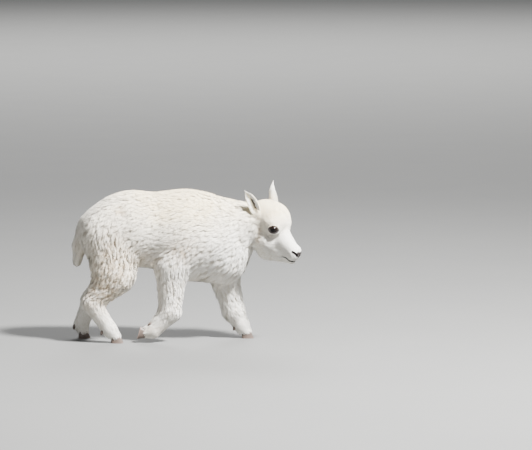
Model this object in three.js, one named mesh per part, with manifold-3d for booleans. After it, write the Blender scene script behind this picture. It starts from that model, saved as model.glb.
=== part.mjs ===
// A mountain goat kid about four weeks old, life size, in mid-walk: head low and turned to its right,
// the right foreleg lifted and folded, the other three feet on the ground.
// Millimetres. +X is the way it walks, +Y its left side, +Z up.
// The body is one smooth form, grown over masses laid along its bones, then parted by thin plane cuts.
import * as THREE from 'three';
import { mergeVertices } from 'three/addons/utils/BufferGeometryUtils.js';
import Module from 'manifold-3d';

const wasm = await Module();
wasm.setup();

const GAP = 0.3; // left between neighbouring pieces

// Driving sizes.
const WITHERS_HEIGHT = 400;
const BACK_HALF_WIDTH = 80;
const EAR_LENGTH = 70;
const EYE_RADIUS = 13.5;
const HOOF_HEIGHT = 17;
const SOLE_LENGTH = 33;
const CLAW_WIDTH = 12.6;
const CLEFT = 1.6;
const DEWCLAW_SPREAD = 8;

// Where the limbs stand, to the sides of the middle plane.
const SHOULDER_SIDE = 40;
const HIP_SIDE = 40;
const FORE_TRACK = 44;
const HIND_TRACK = 48;

// The head is set by its poll, the highest point between the ears, and turned about it.
const POLL = new THREE.Vector3(267, -12, WITHERS_HEIGHT - 26);
const HEAD_YAW = THREE.MathUtils.degToRad(-32);
const HEAD_ROLL = THREE.MathUtils.degToRad(5);

const HEAD_FRAME = new THREE.Matrix4()
  .makeRotationZ(HEAD_YAW)
  .multiply(new THREE.Matrix4().makeRotationX(HEAD_ROLL))
  .setPosition(POLL);
const INTO_HEAD = HEAD_FRAME.clone().invert();

// A mass is a tapered capsule. side is its width over its height, and blend how softly it joins the rest.
function mass(from, to, radiusFrom, radiusTo, side = 1, blend = 24) {
  return { from, to, radiusFrom, radiusTo, side, blend };
}
const ball = (at, radius, side, blend) => mass(at, at, radius, radius, side, blend);

const bothSides = (make) => [-1, 1].flatMap(make);

const TRUNK = [
  mass([140, 0, 260], [55, 0, 285], 99, 108, 0.72),
  mass([55, 0, 285], [-75, 0, 295], 108, 95, BACK_HALF_WIDTH / 104),
  mass([-75, 0, 295], [-140, 0, 284], 95, 78, 0.86),
  ball([88, 0, WITHERS_HEIGHT - 70], 59, 0.64),
  ball([-112, 0, 314], 65, 0.84),
  mass([163, 0, 215], [70, 0, 212], 61, 54, 0.86),
  mass([198, -3, 260], [160, 0, 215], 40, 58, 0.86),
  mass([234, -9, 308], [130, 0, 306], 56, 78, 0.76),
  mass([-192, 0, 309], [-205, 0, 288], 17, 14, 0.95, 18),
];

const SHOULDERS = [
  mass([105, -SHOULDER_SIDE, 270], [38, -FORE_TRACK, 208], 46, 44, 0.8),
  mass([118, SHOULDER_SIDE, 262], [158, FORE_TRACK, 198], 46, 43, 0.8),
];

const FORELEG_RIGHT = [
  mass([28, -FORE_TRACK, 195], [25, -45, 84], 43, 30, 0.84),
  mass([24, -45, 80], [-20, -46, 32], 29, 20, 0.86, 12),
  mass([-20, -46, 31], [-39, -46, 27], 19, 15.5, 0.95, 8),
];

const FORELEG_LEFT = [
  mass([160, FORE_TRACK, 190], [190, 42, 74], 44, 30, 0.8),
  mass([191, 42, 72], [211, 43, 34], 28, 21, 0.84, 12),
  mass([211, 43, 34], [222, 43, 17], 20, 16.5, 0.95, 8),
];

const HINDLEG_RIGHT = [
  mass([-130, -HIP_SIDE, 272], [-122, -HIND_TRACK, 192], 72, 61, 0.6),
  mass([-120, -HIND_TRACK, 174], [-178, -HIND_TRACK, 106], 52, 28, 0.72, 16),
  mass([-178, -HIND_TRACK, 102], [-134, -HIND_TRACK - 2, 36], 25, 20, 0.85, 12),
  mass([-134, -HIND_TRACK - 2, 35], [-119, -HIND_TRACK - 2, 17], 19, 16, 0.95, 8),
];

const HINDLEG_LEFT = [
  mass([-134, HIP_SIDE, 272], [-124, 45, 196], 72, 58, 0.6),
  mass([-120, 45, 172], [-187, 45, 103], 46, 26, 0.76, 16),
  mass([-188, 45, 100], [-213, 46, 36], 24, 20, 0.86, 12),
  mass([-213, 46, 36], [-208, 46, 17], 18.5, 16, 0.95, 8),
];

// In the head's own frame, from the poll: forward, left, up.
const EYE_AT = [48.1, 30, -72.8];
const EAR_AT = { right: [1, -33, -31], left: [5, 36, -31] };
const MUZZLE_TIP = [86, 0, -135];

const HEAD = [
  ball([29, 0, -53], 47.5, 0.92, 14),
  ball([5, 0, -40], 39, 0.95, 14),
  mass([54, 0, -104], MUZZLE_TIP, 29, 19, 0.88, 14),
  mass([16, 0, -124], [79, 0, -152], 42, 15.5, 0.76, 12),
  ball([94, 0, -133], 14, 1.05, 8),
  ball([80, 0, -155], 12, 1.1, 6),
  ...bothSides((side) => [
    ball([42, side * 24, -60], 20, 1, 12),
    ball([EYE_AT[0], side * EYE_AT[1], EYE_AT[2]], EYE_RADIUS + 3, 1, 10),
    ball([16, side * 16, -108], 32, 1, 14),
    ball([90, side * 7.5, -143], 12.5, 1, 7),
  ]),
  ...Object.values(EAR_AT).map(([x, y, z]) => ball([x, y, z - 3], 13.5, 1, 10)),
];

const BODY = [...TRUNK, ...SHOULDERS, ...FORELEG_RIGHT, ...FORELEG_LEFT, ...HINDLEG_RIGHT, ...HINDLEG_LEFT];

function distanceTo(m, x, y, z) {
  const ay = m.from[1] / m.side;
  const bx = m.to[0] - m.from[0];
  const by = m.to[1] / m.side - ay;
  const bz = m.to[2] - m.from[2];
  const px = x - m.from[0];
  const py = y / m.side - ay;
  const pz = z - m.from[2];
  const length2 = bx * bx + by * by + bz * bz;
  const t = length2 ? Math.min(1, Math.max(0, (px * bx + py * by + pz * bz) / length2)) : 0;
  const away = Math.hypot(px - t * bx, py - t * by, pz - t * bz);
  return away - m.radiusFrom - t * (m.radiusTo - m.radiusFrom);
}

function softest(a, b, blend) {
  const h = Math.max(blend - Math.abs(a - b), 0) / blend;
  return Math.min(a, b) - (h * h * blend) / 4;
}

const headPoint = new THREE.Vector3();
const HEAD_REACH = 250; // no mass of the head is felt further off than this

// How far a point lies outside the coat's outline; negative inside.
function outline(x, y, z) {
  let d = 1e3;
  for (const m of BODY) d = softest(d, distanceTo(m, x, y, z), m.blend);
  headPoint.set(x, y, z);
  if (headPoint.distanceTo(POLL) < HEAD_REACH) {
    headPoint.applyMatrix4(INTO_HEAD);
    for (const m of HEAD) d = softest(d, distanceTo(m, headPoint.x, headPoint.y, headPoint.z), m.blend);
  }
  return d;
}

// Solids.
function solidOf(geometry, matrix) {
  const bare = geometry.clone();
  for (const name of Object.keys(bare.attributes)) if (name !== 'position') bare.deleteAttribute(name);
  const merged = mergeVertices(bare, 1e-4);
  if (matrix) merged.applyMatrix4(matrix);
  return new wasm.Manifold(
    new wasm.Mesh({
      numProp: 3,
      vertProperties: new Float32Array(merged.attributes.position.array),
      triVerts: new Uint32Array(merged.index.array),
    }),
  );
}

// A closed skin through rings of points, each turning right-handed about the way they follow one another.
// It ends flat, or in a point if one is given.
function loft(rings, tip) {
  const n = rings[0].length;
  const last = (rings.length - 1) * n;
  const index = [];
  for (let r = 0; r < last; r += n)
    for (let i = 0; i < n; i++) {
      const j = (i + 1) % n;
      index.push(r + i, r + j, r + n + j, r + i, r + n + j, r + n + i);
    }
  for (let i = 1; i < n - 1; i++) {
    index.push(0, i + 1, i);
    if (!tip) index.push(last, last + i, last + i + 1);
  }
  if (tip) for (let i = 0; i < n; i++) index.push(last + i, last + ((i + 1) % n), last + n);
  return new THREE.BufferGeometry()
    .setAttribute('position', new THREE.Float32BufferAttribute([...rings.flat(), ...(tip ? [tip] : [])].flat(), 3))
    .setIndex(index);
}

const largest = (solid) => solid.decompose().sort((a, b) => b.volume() - a.volume())[0];

// The closed surface where a field passes zero, one point to a cell of the grid that it crosses.
function surfaceOf(field, low, high, cell) {
  const n = [0, 1, 2].map((i) => Math.ceil((high[i] - low[i]) / cell) + 1);
  const at = (i, j, k) => (k * n[1] + j) * n[0] + i;
  const place = (i, j, k) => [low[0] + i * cell, low[1] + j * cell, low[2] + k * cell];
  const values = new Float64Array(n[0] * n[1] * n[2]);
  for (let k = 0; k < n[2]; k++)
    for (let j = 0; j < n[1]; j++)
      for (let i = 0; i < n[0]; i++) {
        const edge = i === 0 || j === 0 || k === 0 || i === n[0] - 1 || j === n[1] - 1 || k === n[2] - 1;
        const value = field(...place(i, j, k));
        values[at(i, j, k)] = edge ? Math.max(value, cell) : value;
      }

  const points = [];
  const pointOf = new Int32Array(values.length).fill(-1);
  const corners = [0, 1, 2, 3, 4, 5, 6, 7].map((c) => [c & 1, (c >> 1) & 1, c >> 2]);
  const edges = corners.flatMap((a, i) =>
    corners.slice(i + 1).filter((b) => a.filter((v, s) => v !== b[s]).length === 1).map((b) => [a, b]),
  );
  for (let k = 0; k < n[2] - 1; k++)
    for (let j = 0; j < n[1] - 1; j++)
      for (let i = 0; i < n[0] - 1; i++) {
        const sum = [0, 0, 0];
        let crossed = 0;
        for (const [a, b] of edges) {
          const va = values[at(i + a[0], j + a[1], k + a[2])];
          const vb = values[at(i + b[0], j + b[1], k + b[2])];
          if (va < 0 === vb < 0) continue;
          const t = va / (va - vb);
          for (let s = 0; s < 3; s++) sum[s] += a[s] + t * (b[s] - a[s]);
          crossed++;
        }
        if (!crossed) continue;
        pointOf[at(i, j, k)] = points.length;
        const start = place(i + sum[0] / crossed, j + sum[1] / crossed, k + sum[2] / crossed);
        points.push(settle(field, start, cell, place(i, j, k)));
      }

  const triangles = [];
  const steps = [[1, 0, 0], [0, 1, 0], [0, 0, 1]];
  for (let k = 0; k < n[2] - 1; k++)
    for (let j = 0; j < n[1] - 1; j++)
      for (let i = 0; i < n[0] - 1; i++)
        steps.forEach((step, s) => {
          const inside = values[at(i, j, k)] < 0;
          if (inside === values[at(i + step[0], j + step[1], k + step[2])] < 0) return;
          const u = steps[(s + 1) % 3];
          const v = steps[(s + 2) % 3];
          const quad = [[0, 0], [1, 0], [1, 1], [0, 1]].map(([a, b]) =>
            pointOf[at(i - a * u[0] - b * v[0], j - a * u[1] - b * v[1], k - a * u[2] - b * v[2])],
          );
          if (!inside) quad.reverse();
          const [a, b, c, d] = quad;
          if (span(points[a], points[c]) < span(points[b], points[d])) triangles.push(a, b, c, a, c, d);
          else triangles.push(a, b, d, b, c, d);
        });
  return new wasm.Manifold(
    new wasm.Mesh({
      numProp: 3,
      vertProperties: new Float32Array(points.flat()),
      triVerts: new Uint32Array(triangles),
    }),
  );
}

const span = (a, b) => Math.hypot(a[0] - b[0], a[1] - b[1], a[2] - b[2]);

// Moves a point straight onto the field's zero surface, but not out of its own cell of the grid.
function settle(field, point, cell, corner) {
  for (let round = 0; round < 3; round++) {
    const d = field(...point);
    if (Math.abs(d) > cell) return point;
    const slope = slopeOf(field, point);
    const steepness = Math.max(0.3, slope.lengthSq());
    point = slope
      .toArray()
      .map((v, i) => THREE.MathUtils.clamp(point[i] - (d * v) / steepness, corner[i], corner[i] + cell));
  }
  return point;
}

function slopeOf(field, [x, y, z], reach = 0.5) {
  return new THREE.Vector3(
    field(x + reach, y, z) - field(x - reach, y, z),
    field(x, y + reach, z) - field(x, y - reach, z),
    field(x, y, z + reach) - field(x, y, z - reach),
  ).divideScalar(2 * reach);
}

// The wool. Each woolly piece has a core under the outline, and flat tapered locks that lie on it along
// the way the wool grows, each rooted inside the core and reaching the outline at its tip.
const WOOLLY = {
  torso: { inset: 9, lie: [-0.86, 0, -0.5], spacing: 48, length: 70, width: 49, cell: 25 },
  neck: { inset: 7, lie: [-0.8, 0, -0.6], spacing: 44, length: 58, width: 42, cell: 21 },
  tail: { inset: 4, lie: [-0.1, 0, -1], spacing: 25, length: 36, width: 20, cell: 12 },
  forearm: { inset: 5, lie: [-0.15, 0, -1], spacing: 42, length: 50, width: 34, cell: 18.4 },
  thigh: { inset: 8, lie: [-0.3, 0, -0.95], spacing: 42, length: 56, width: 40, cell: 20 },
  shank: { inset: 5, lie: [-0.55, 0, -0.85], spacing: 42, length: 44, width: 32, cell: 18.2 },
};
// The other pieces are smooth, and are meshed on a grid of this size.
const PLAIN_CELL = { cannon: 13.5, pastern: 12, head: 10.1 };
const LOCK_THICKNESS = 8;
const ROOT_SINK = 4; // how far a lock's root goes under the core's surface
const LOCK_SWING = 0.35; // how far a lock may turn from the lie, in radians

// One stream of even numbers between 0 and 1, the same at every run.
let seed = 20;
function chance() {
  seed = (seed * 16807) % 2147483647;
  return seed / 2147483647;
}

const along = (point, direction, by) => point.map((v, i) => v + direction.getComponent(i) * by);

// The point straight out or in from here where the outline is that far off.
function atDepth(field, point, depth) {
  for (let round = 0; round < 2; round++)
    point = along(point, slopeOf(field, point).normalize(), -depth - field(...point));
  return point;
}

function lock(field, root, wool) {
  const swing = LOCK_SWING * (2 * chance() - 1);
  const curl = 0.5 * (2 * chance() - 1);
  const size = 0.8 + 0.4 * chance();
  const stations = [
    { go: 0, width: 0.7, depth: wool.inset + ROOT_SINK, thick: 1 },
    { go: 0.34, width: 1, depth: wool.inset * 0.42, thick: 0.9 },
    { go: 0.36, width: 0.75, depth: wool.inset * 0.34, thick: 0.7 },
    { go: 0.3, width: 0, depth: 0.6, thick: 0 },
  ];
  let point = root;
  let turn = swing;
  const rings = stations.map(({ go, width, depth, thick }) => {
    let normal = slopeOf(field, point).normalize();
    const way = new THREE.Vector3(...wool.lie).projectOnPlane(normal).normalize().applyAxisAngle(normal, turn);
    turn += curl * go;
    point = atDepth(field, along(point, way, go * size * wool.length), depth);
    normal = slopeOf(field, point).normalize();
    way.projectOnPlane(normal).normalize();
    const side = new THREE.Vector3().crossVectors(normal, way);
    const half = (width * size * wool.width) / 2;
    const rise = (thick * LOCK_THICKNESS) / 2;
    return [
      atDepth(field, along(point, side, half), depth + 1),
      along(point, normal, Math.min(rise, depth - 0.3)),
      atDepth(field, along(point, side, -half), depth + 1),
      along(point, normal, -rise),
    ];
  });
  return solidOf(loft(rings.slice(0, 3), rings[3][1]));
}

// Points spread evenly over a solid's surface, no two nearer than the spacing.
function rootsOn(solid, spacing, keep) {
  const { vertProperties, triVerts, numProp } = solid.getMesh();
  const corner = (i) => Array.from(vertProperties.subarray(triVerts[i] * numProp, triVerts[i] * numProp + 3));
  const roots = [];
  const tries = 40 * Math.ceil(solid.surfaceArea() / spacing ** 2);
  for (let i = 0; i < tries; i++) {
    const t = 3 * Math.floor(chance() * (triVerts.length / 3));
    const [a, b, c] = [corner(t), corner(t + 1), corner(t + 2)];
    const u = Math.sqrt(chance());
    const v = chance();
    const point = a.map((_, k) => a[k] * (1 - u) + b[k] * u * (1 - v) + c[k] * u * v);
    if (keep(point) && roots.every((other) => span(point, other) > spacing)) roots.push(point);
  }
  return roots;
}

function woolly(wool, low, high, keep, field = outline) {
  let flesh = surfaceOf((x, y, z) => field(x, y, z) + wool.inset, low, high, wool.cell);
  for (const root of rootsOn(flesh, wool.spacing, keep)) flesh = flesh.add(lock(field, root, wool));
  return flesh;
}

// A cut is a plane that parts two pieces. Its normal points at the outer one.
const cut = (point, normal) => ({ point: new THREE.Vector3(...point), normal: new THREE.Vector3(...normal).normalize() });
const beyond = (solid, { point, normal }, gap = GAP / 2) =>
  solid.trimByPlane(normal.toArray(), point.dot(normal) + gap);
const before = (solid, { point, normal }, gap = GAP / 2) =>
  solid.trimByPlane(normal.clone().negate().toArray(), -point.dot(normal) + gap);

const OVERLAP = 30; // how far past a cut the locks are still grown
const past = (point, { point: middle, normal }) => new THREE.Vector3(...point).sub(middle).dot(normal);

function boxOf(low, high) {
  const size = high.map((v, i) => v - low[i]);
  const middle = high.map((v, i) => (v + low[i]) / 2);
  return solidOf(new THREE.BoxGeometry(...size), new THREE.Matrix4().makeTranslation(...middle));
}

const NECK_CUT = cut([145, 0, 280], [0.947, 0, 0.322]);
const HEAD_CUT = cut([245, -10, 310], [0.96, -0.27, 0.05]);
const TAIL_CUT = cut([-208, 0, 284], [-0.72, 0, -0.69]);

// Where each foot's pair of claws stands: middle of the soles, and how it is turned.
const onGround = (x, y, turn) =>
  new THREE.Matrix4().makeRotationZ(THREE.MathUtils.degToRad(turn)).setPosition(x, y, 0);
const LIFTED_TURN = THREE.MathUtils.degToRad(107);
const lifted = new THREE.Matrix4().makeRotationY(LIFTED_TURN).setPosition(-57, -46, 26);
const FEET = {
  foreleg_right: lifted,
  foreleg_left: onGround(227, 43, 3),
  hindleg_right: onGround(-114, -HIND_TRACK - 2, -5),
  hindleg_left: onGround(-205, 46, 4),
};

// The plane under the hair where a foot's horn begins.
function coronet(foot) {
  const normal = new THREE.Vector3().setFromMatrixColumn(foot, 2).negate();
  return { point: new THREE.Vector3(0, 0, HOOF_HEIGHT).applyMatrix4(foot), normal };
}

// Each leg: the room that it takes up below the trunk, its cuts from the trunk down, and its pieces.
const LEGS = {
  foreleg_right: {
    low: [-75, -115, -8],
    high: [71, -10, 215],
    cuts: [
      cut([20, -45, 176], [0, -0.5, -0.866]),
      cut([24, -45, 73], [-0.42, 0, -0.9]),
      cut([-14, -46, 35], [-0.86, 0, -0.5]),
      coronet(FEET.foreleg_right),
    ],
    pieces: ['forearm', 'cannon', 'pastern'],
    dewclaws: { x: -27, y: -46, z: 50, tilt: 1.1 },
  },
  foreleg_left: {
    low: [98, 10, -8],
    high: [255, 115, 215],
    cuts: [
      cut([168, 43, 172], [0, 0.5, -0.866]),
      cut([191, 42, 68], [0.3, 0, -0.95]),
      cut([211, 43, 36], [0.4, 0, -0.92]),
      coronet(FEET.foreleg_left),
    ],
    pieces: ['forearm', 'cannon', 'pastern'],
    dewclaws: { x: 192, y: 43, z: 27, tilt: 0.35 },
  },
  hindleg_right: {
    low: [-250, -118, -8],
    high: [-52, -4, 240],
    cuts: [
      cut([-125, -45, 201], [0, -0.33, -0.944]),
      cut([-128, -48, 150], [-0.55, 0, -0.83]),
      cut([-176, -48, 97], [-0.06, 0, -1]),
      cut([-137, -49, 40], [0.5, 0, -0.87]),
      coronet(FEET.hindleg_right),
    ],
    pieces: ['thigh', 'shank', 'cannon', 'pastern'],
    dewclaws: { x: -153, y: -50, z: 28, tilt: 0.35 },
  },
  hindleg_left: {
    low: [-262, 4, -8],
    high: [-56, 118, 240],
    cuts: [
      cut([-128, 45, 201], [0, 0.33, -0.944]),
      cut([-134, 45, 150], [-0.6, 0, -0.8]),
      cut([-187, 45, 96], [-0.2, 0, -0.98]),
      cut([-212, 45, 38], [-0.05, 0, -1]),
      coronet(FEET.hindleg_left),
    ],
    pieces: ['thigh', 'shank', 'cannon', 'pastern'],
    dewclaws: { x: -231, y: 46, z: 30, tilt: 0.2 },
  },
};

const MARGIN = 24; // by which a piece is grown past its room before it is cut

const grown = (low, high, by) => [low.map((v) => v - by), high.map((v) => v + by)];

// Two small horny buds stand behind each fetlock.
function dewclaw(at, side, extra = 0) {
  const bud = new THREE.SphereGeometry(1, 6, 5).scale(4.2 + extra, 4.2 + extra, 7.5 + extra);
  const turned = new THREE.Matrix4().makeRotationY(at.tilt).setPosition(at.x, at.y + side * DEWCLAW_SPREAD, at.z);
  return solidOf(bud, turned);
}

function legPieces(leg) {
  const room = boxOf(...grown(leg.low, leg.high, -GAP / 2));
  const [low, high] = grown(leg.low, leg.high, MARGIN);
  return leg.pieces.map((name, i) => {
    const wool = WOOLLY[name];
    // Locks grow on the stretch between the two cuts, and a little past them so that none ends short.
    const keep = (point) => past(point, leg.cuts[i]) > -OVERLAP && past(point, leg.cuts[i + 1]) < OVERLAP / 2;
    const flesh = wool ? woolly(wool, low, high, keep) : surfaceOf(outline, low, high, PLAIN_CELL[name]);
    let piece = before(beyond(flesh.intersect(room), leg.cuts[i]), leg.cuts[i + 1]);
    for (const side of [-1, 1]) piece = piece.subtract(dewclaw(leg.dewclaws, side, GAP));
    return largest(piece);
  });
}

// What a leg takes from the trunk: its room, below its first cut.
const legRoom = (leg) => beyond(boxOf(...grown(leg.low, leg.high, GAP / 2)), leg.cuts[0], -GAP / 2);

// Whether a point is deep in a leg's room, where no lock of the trunk is wanted.
const inLegs = (point) =>
  Object.values(LEGS).some(
    ({ low, high, cuts }) =>
      point.every((v, i) => v > low[i] && v < high[i]) && past(point, cuts[0]) > OVERLAP / 2,
  );

function torso() {
  const keep = (point) => past(point, NECK_CUT) < OVERLAP && !inLegs(point);
  let flesh = woolly(WOOLLY.torso, [-270, -130, 100], [230, 130, 430], keep);
  flesh = before(flesh, NECK_CUT);
  for (const leg of Object.values(LEGS)) flesh = flesh.subtract(legRoom(leg));
  const behind = beyond(boxOf([-260, -32, 190], [-180, 32, 318]), TAIL_CUT, -GAP / 2);
  return largest(flesh.subtract(behind));
}

function neck() {
  const keep = (point) => past(point, NECK_CUT) > -OVERLAP && past(point, HEAD_CUT) < OVERLAP && !inLegs(point);
  const flesh = woolly(WOOLLY.neck, [90, -115, 120], [300, 115, 430], keep);
  const legless = flesh.subtract(legRoom(LEGS.foreleg_left));
  return largest(before(beyond(legless, NECK_CUT), HEAD_CUT));
}

// The tail hangs from its root on the rump, thickest halfway down.
function tail() {
  const shape = [
    mass([-198, 0, 306], [-213, 0, 252], 17, 18.5, 0.95, 8),
    mass([-213, 0, 252], [-220, 0, 207], 18.5, 12, 0.95, 12),
  ];
  const field = (x, y, z) => shape.reduce((d, m) => softest(d, distanceTo(m, x, y, z), m.blend), 1e3);
  const keep = (point) => past(point, TAIL_CUT) > 0;
  return largest(beyond(woolly(WOOLLY.tail, [-262, -42, 170], [-165, 42, 352], keep, field), TAIL_CUT));
}

const inHead = (at) => new THREE.Vector3(...at).applyMatrix4(HEAD_FRAME);
const mirrored = ([x, y, z], side) => [x, side * y, z];

const SIDES = { right: -1, left: 1 };

const NOWHERE = new THREE.Vector3();

// A placement whose z runs along an outward direction given in the head's frame, and whose y stays upright.
function facing(at, outward) {
  const turn = new THREE.Matrix4().lookAt(new THREE.Vector3(...outward), NOWHERE, new THREE.Vector3(0, 0, 1));
  return HEAD_FRAME.clone().multiply(turn.setPosition(...at));
}

const EYE_OUTWARD = [0.5, 0.86, 0.06];
const LID_ARC = 16;
const LID_OFFSET = 8.2;

// The opening between the lids, pointed at both corners, from the eyeball outwards.
function lidOpening(side) {
  const placed = facing(mirrored(EYE_AT, side), mirrored(EYE_OUTWARD, side));
  const halves = [-1, 1].map((up) => {
    const drum = new THREE.CylinderGeometry(LID_ARC + 3, LID_ARC - 1, 24, 22).rotateX(Math.PI / 2);
    return solidOf(drum, placed.clone().multiply(new THREE.Matrix4().makeTranslation(0, up * LID_OFFSET, 18)));
  });
  return halves[0].intersect(halves[1]);
}

const eyeball = (side, extra = 0) =>
  solidOf(
    new THREE.SphereGeometry(EYE_RADIUS + extra, 12, 9),
    facing(mirrored(EYE_AT, side), mirrored(EYE_OUTWARD, side)),
  );

// A groove or hollow that follows points given in the head's frame: a bent tube to be cut away.
function groove(points, width, tall) {
  const path = new THREE.CatmullRomCurve3(points.map((p) => new THREE.Vector3(...p)));
  const section = new THREE.Shape().absellipse(0, 0, tall, width, 0, Math.PI * 2);
  const tube = new THREE.ExtrudeGeometry(section, { extrudePath: path, steps: 6, curveSegments: 3, bevelEnabled: false });
  return solidOf(tube, HEAD_FRAME);
}

function head() {
  const corners = [[-50, -62, -185], [125, 62, 20]];
  const low = new THREE.Box3();
  for (const x of [0, 1]) for (const y of [0, 1]) for (const z of [0, 1])
    low.expandByPoint(inHead([corners[x][0], corners[y][1], corners[z][2]]));
  let flesh = surfaceOf(outline, low.min.toArray(), low.max.toArray(), PLAIN_CELL.head);
  flesh = largest(beyond(flesh, HEAD_CUT));
  for (const side of Object.values(SIDES)) {
    flesh = flesh.subtract(eyeball(side, GAP)).subtract(lidOpening(side));
    const lipLine = [[63, 17, -141], [72, 16.5, -143.5], [84, 15, -150], [95, 13, -156], [104, 6, -157.5]];
    flesh = flesh.subtract(groove(lipLine.map((p) => mirrored(p, side)), 1.1, 4));
    const nostril = [[103, 13, -140], [105.5, 9.5, -137], [109, 6.5, -138.5], [112, 5, -144]];
    flesh = flesh.subtract(groove(nostril.map((p) => mirrored(p, side)), 2.3, 2.6));
    flesh = flesh.subtract(earRoom(side));
  }
  return largest(flesh);
}

// An ear is a leaf rolled into a cup: open to the front and side, closed round its root.
const EARS = {
  right: { lean: [-0.2, -0.42, 0.86], opening: [0.55, -0.83, 0] },
  left: { lean: [-0.06, 0.26, 0.96], opening: [0.25, 0.97, 0] },
};
const EAR_HALF_WIDTH = 14.5;
const EAR_BOW = 2.5; // how far an ear's middle bows forwards
const EAR_THICKNESS = 4.6;

function earPlace(name) {
  const along = new THREE.Vector3(...EARS[name].lean).normalize();
  const opening = new THREE.Vector3(...EARS[name].opening);
  const across = new THREE.Vector3().crossVectors(along, opening).normalize();
  opening.crossVectors(across, along);
  const frame = new THREE.Matrix4().makeBasis(opening, across, along).setPosition(...EAR_AT[name]);
  return HEAD_FRAME.clone().multiply(frame);
}

const EAR_ROOT = 7; // height of the cut at the ear's root, along the ear

const earCutOf = (name) => {
  const place = earPlace(name);
  const normal = new THREE.Vector3().setFromMatrixColumn(place, 2);
  return { point: new THREE.Vector3(0, 0, EAR_ROOT).applyMatrix4(place), normal };
};

function earRoom(side) {
  const name = side < 0 ? 'right' : 'left';
  const block = new THREE.CylinderGeometry(16.5, 16.5, 40, 16).rotateX(Math.PI / 2);
  const placed = earPlace(name).multiply(new THREE.Matrix4().makeTranslation(0, 0, 20));
  return beyond(solidOf(block, placed), earCutOf(name), -GAP / 2);
}

function ear(name) {
  const rows = 7;
  const columns = 6;
  const widest = 0.38;
  const point = (s, t, outer) => {
    // s runs from root to tip, t from one edge to the other, and outer is the furred back of the ear.
    const taper = s < widest ? 0.66 + 0.34 * Math.sin((Math.PI / 2) * (s / widest)) : 1 - ((s - widest) / (1 - widest)) ** 2;
    const half = EAR_HALF_WIDTH * Math.max(taper, 0.05);
    const wrap = THREE.MathUtils.lerp(2.1, 0.75, Math.min(1, s * 1.5)); // half angle of the cup
    const radius = half / Math.sin(Math.min(wrap, Math.PI / 2));
    const thick = EAR_THICKNESS * (1 - 0.7 * s) * (1 - 0.65 * t * t);
    const r = radius + (outer ? thick / 2 : -thick / 2) * Math.min(1, half / 6);
    const angle = Math.PI + t * wrap;
    const lean = 3 * Math.sin(Math.PI * s);
    const bow = -SIDES[name] * EAR_BOW * Math.sin(Math.PI * s) ** 2;
    return new THREE.Vector3(radius * 0.6 + r * Math.cos(angle) - lean, r * Math.sin(angle) + bow, EAR_LENGTH * s);
  };
  const positions = [];
  const index = [];
  const id = (i, j, outer) => (outer ? (rows + 1) * (columns + 1) : 0) + i * (columns + 1) + j;
  for (const outer of [false, true])
    for (let i = 0; i <= rows; i++)
      for (let j = 0; j <= columns; j++)
        positions.push(...point(i / rows, (2 * j) / columns - 1, outer).toArray());
  const quad = (a, b, c, d) => index.push(a, b, c, a, c, d);
  for (let i = 0; i < rows; i++)
    for (let j = 0; j < columns; j++) {
      quad(id(i, j, true), id(i, j + 1, true), id(i + 1, j + 1, true), id(i + 1, j, true));
      quad(id(i, j, false), id(i + 1, j, false), id(i + 1, j + 1, false), id(i, j + 1, false));
    }
  for (let i = 0; i < rows; i++) {
    quad(id(i, 0, true), id(i + 1, 0, true), id(i + 1, 0, false), id(i, 0, false));
    quad(id(i, columns, false), id(i + 1, columns, false), id(i + 1, columns, true), id(i, columns, true));
  }
  for (let j = 0; j < columns; j++) {
    quad(id(0, j, false), id(0, j + 1, false), id(0, j + 1, true), id(0, j, true));
    quad(id(rows, j, true), id(rows, j + 1, true), id(rows, j + 1, false), id(rows, j, false));
  }
  const leaf = new THREE.BufferGeometry()
    .setAttribute('position', new THREE.Float32BufferAttribute(positions, 3))
    .setIndex(index);
  let shell = solidOf(leaf);
  if (shell.volume() < 0) throw new Error('the ear is inside out');
  const root = solidOf(new THREE.SphereGeometry(12, 12, 8).scale(0.95, 0.95, 1.1));
  shell = shell.add(root).transform(earPlace(name).elements);
  return largest(beyond(shell, earCutOf(name)));
}

// One claw of a cloven hoof: sloped toe, flat sole on z = 0, flat top under the hair. inner is -1 or 1.
function claw(place, inner) {
  const toe = SOLE_LENGTH / 2;
  const top = HOOF_HEIGHT - GAP / 2;
  const profile = [
    [toe - 3, 0], [toe - 0.5, 2], [toe - 1, 5], [toe - 8, top], [-toe + 3, top], [-toe + 0.5, 9], [-toe, 5], [-toe + 2, 0],
  ];
  const middle = [-1, HOOF_HEIGHT / 2];
  const slices = [[-0.5, 0.84], [-0.34, 1], [0.34, 1], [0.5, 0.84]];
  const across = (inner * (CLAW_WIDTH + CLEFT)) / 2;
  const rings = slices.map(([at, scale]) =>
    profile.map(([x, z]) => [
      middle[0] + (x - middle[0]) * scale,
      across - at * CLAW_WIDTH,
      middle[1] + (z - middle[1]) * scale,
    ]),
  );
  return solidOf(loft(rings), place);
}

const material = (color, roughness) => new THREE.MeshStandardMaterial({ color, roughness, metalness: 0 });
const WOOL = material(0xece5d3, 0.95);
const SHORT_HAIR = material(0xf1ece0, 0.9);
const HORN = material(0x3a342f, 0.5);
const EYE = material(0x120d0b, 0.08);

const kid = new THREE.Group();

function add(name, solid, look) {
  const mesh = solid.getMesh();
  const positions = new Float32Array(mesh.numVert * 3);
  for (let i = 0; i < mesh.numVert; i++)
    positions.set(mesh.vertProperties.subarray(i * mesh.numProp, i * mesh.numProp + 3), i * 3);
  const geometry = new THREE.BufferGeometry()
    .setAttribute('position', new THREE.BufferAttribute(positions, 3))
    .setIndex(new THREE.BufferAttribute(mesh.triVerts, 1));
  geometry.computeVertexNormals();
  const piece = new THREE.Mesh(geometry, look);
  piece.name = name;
  kid.add(piece);
}

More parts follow.
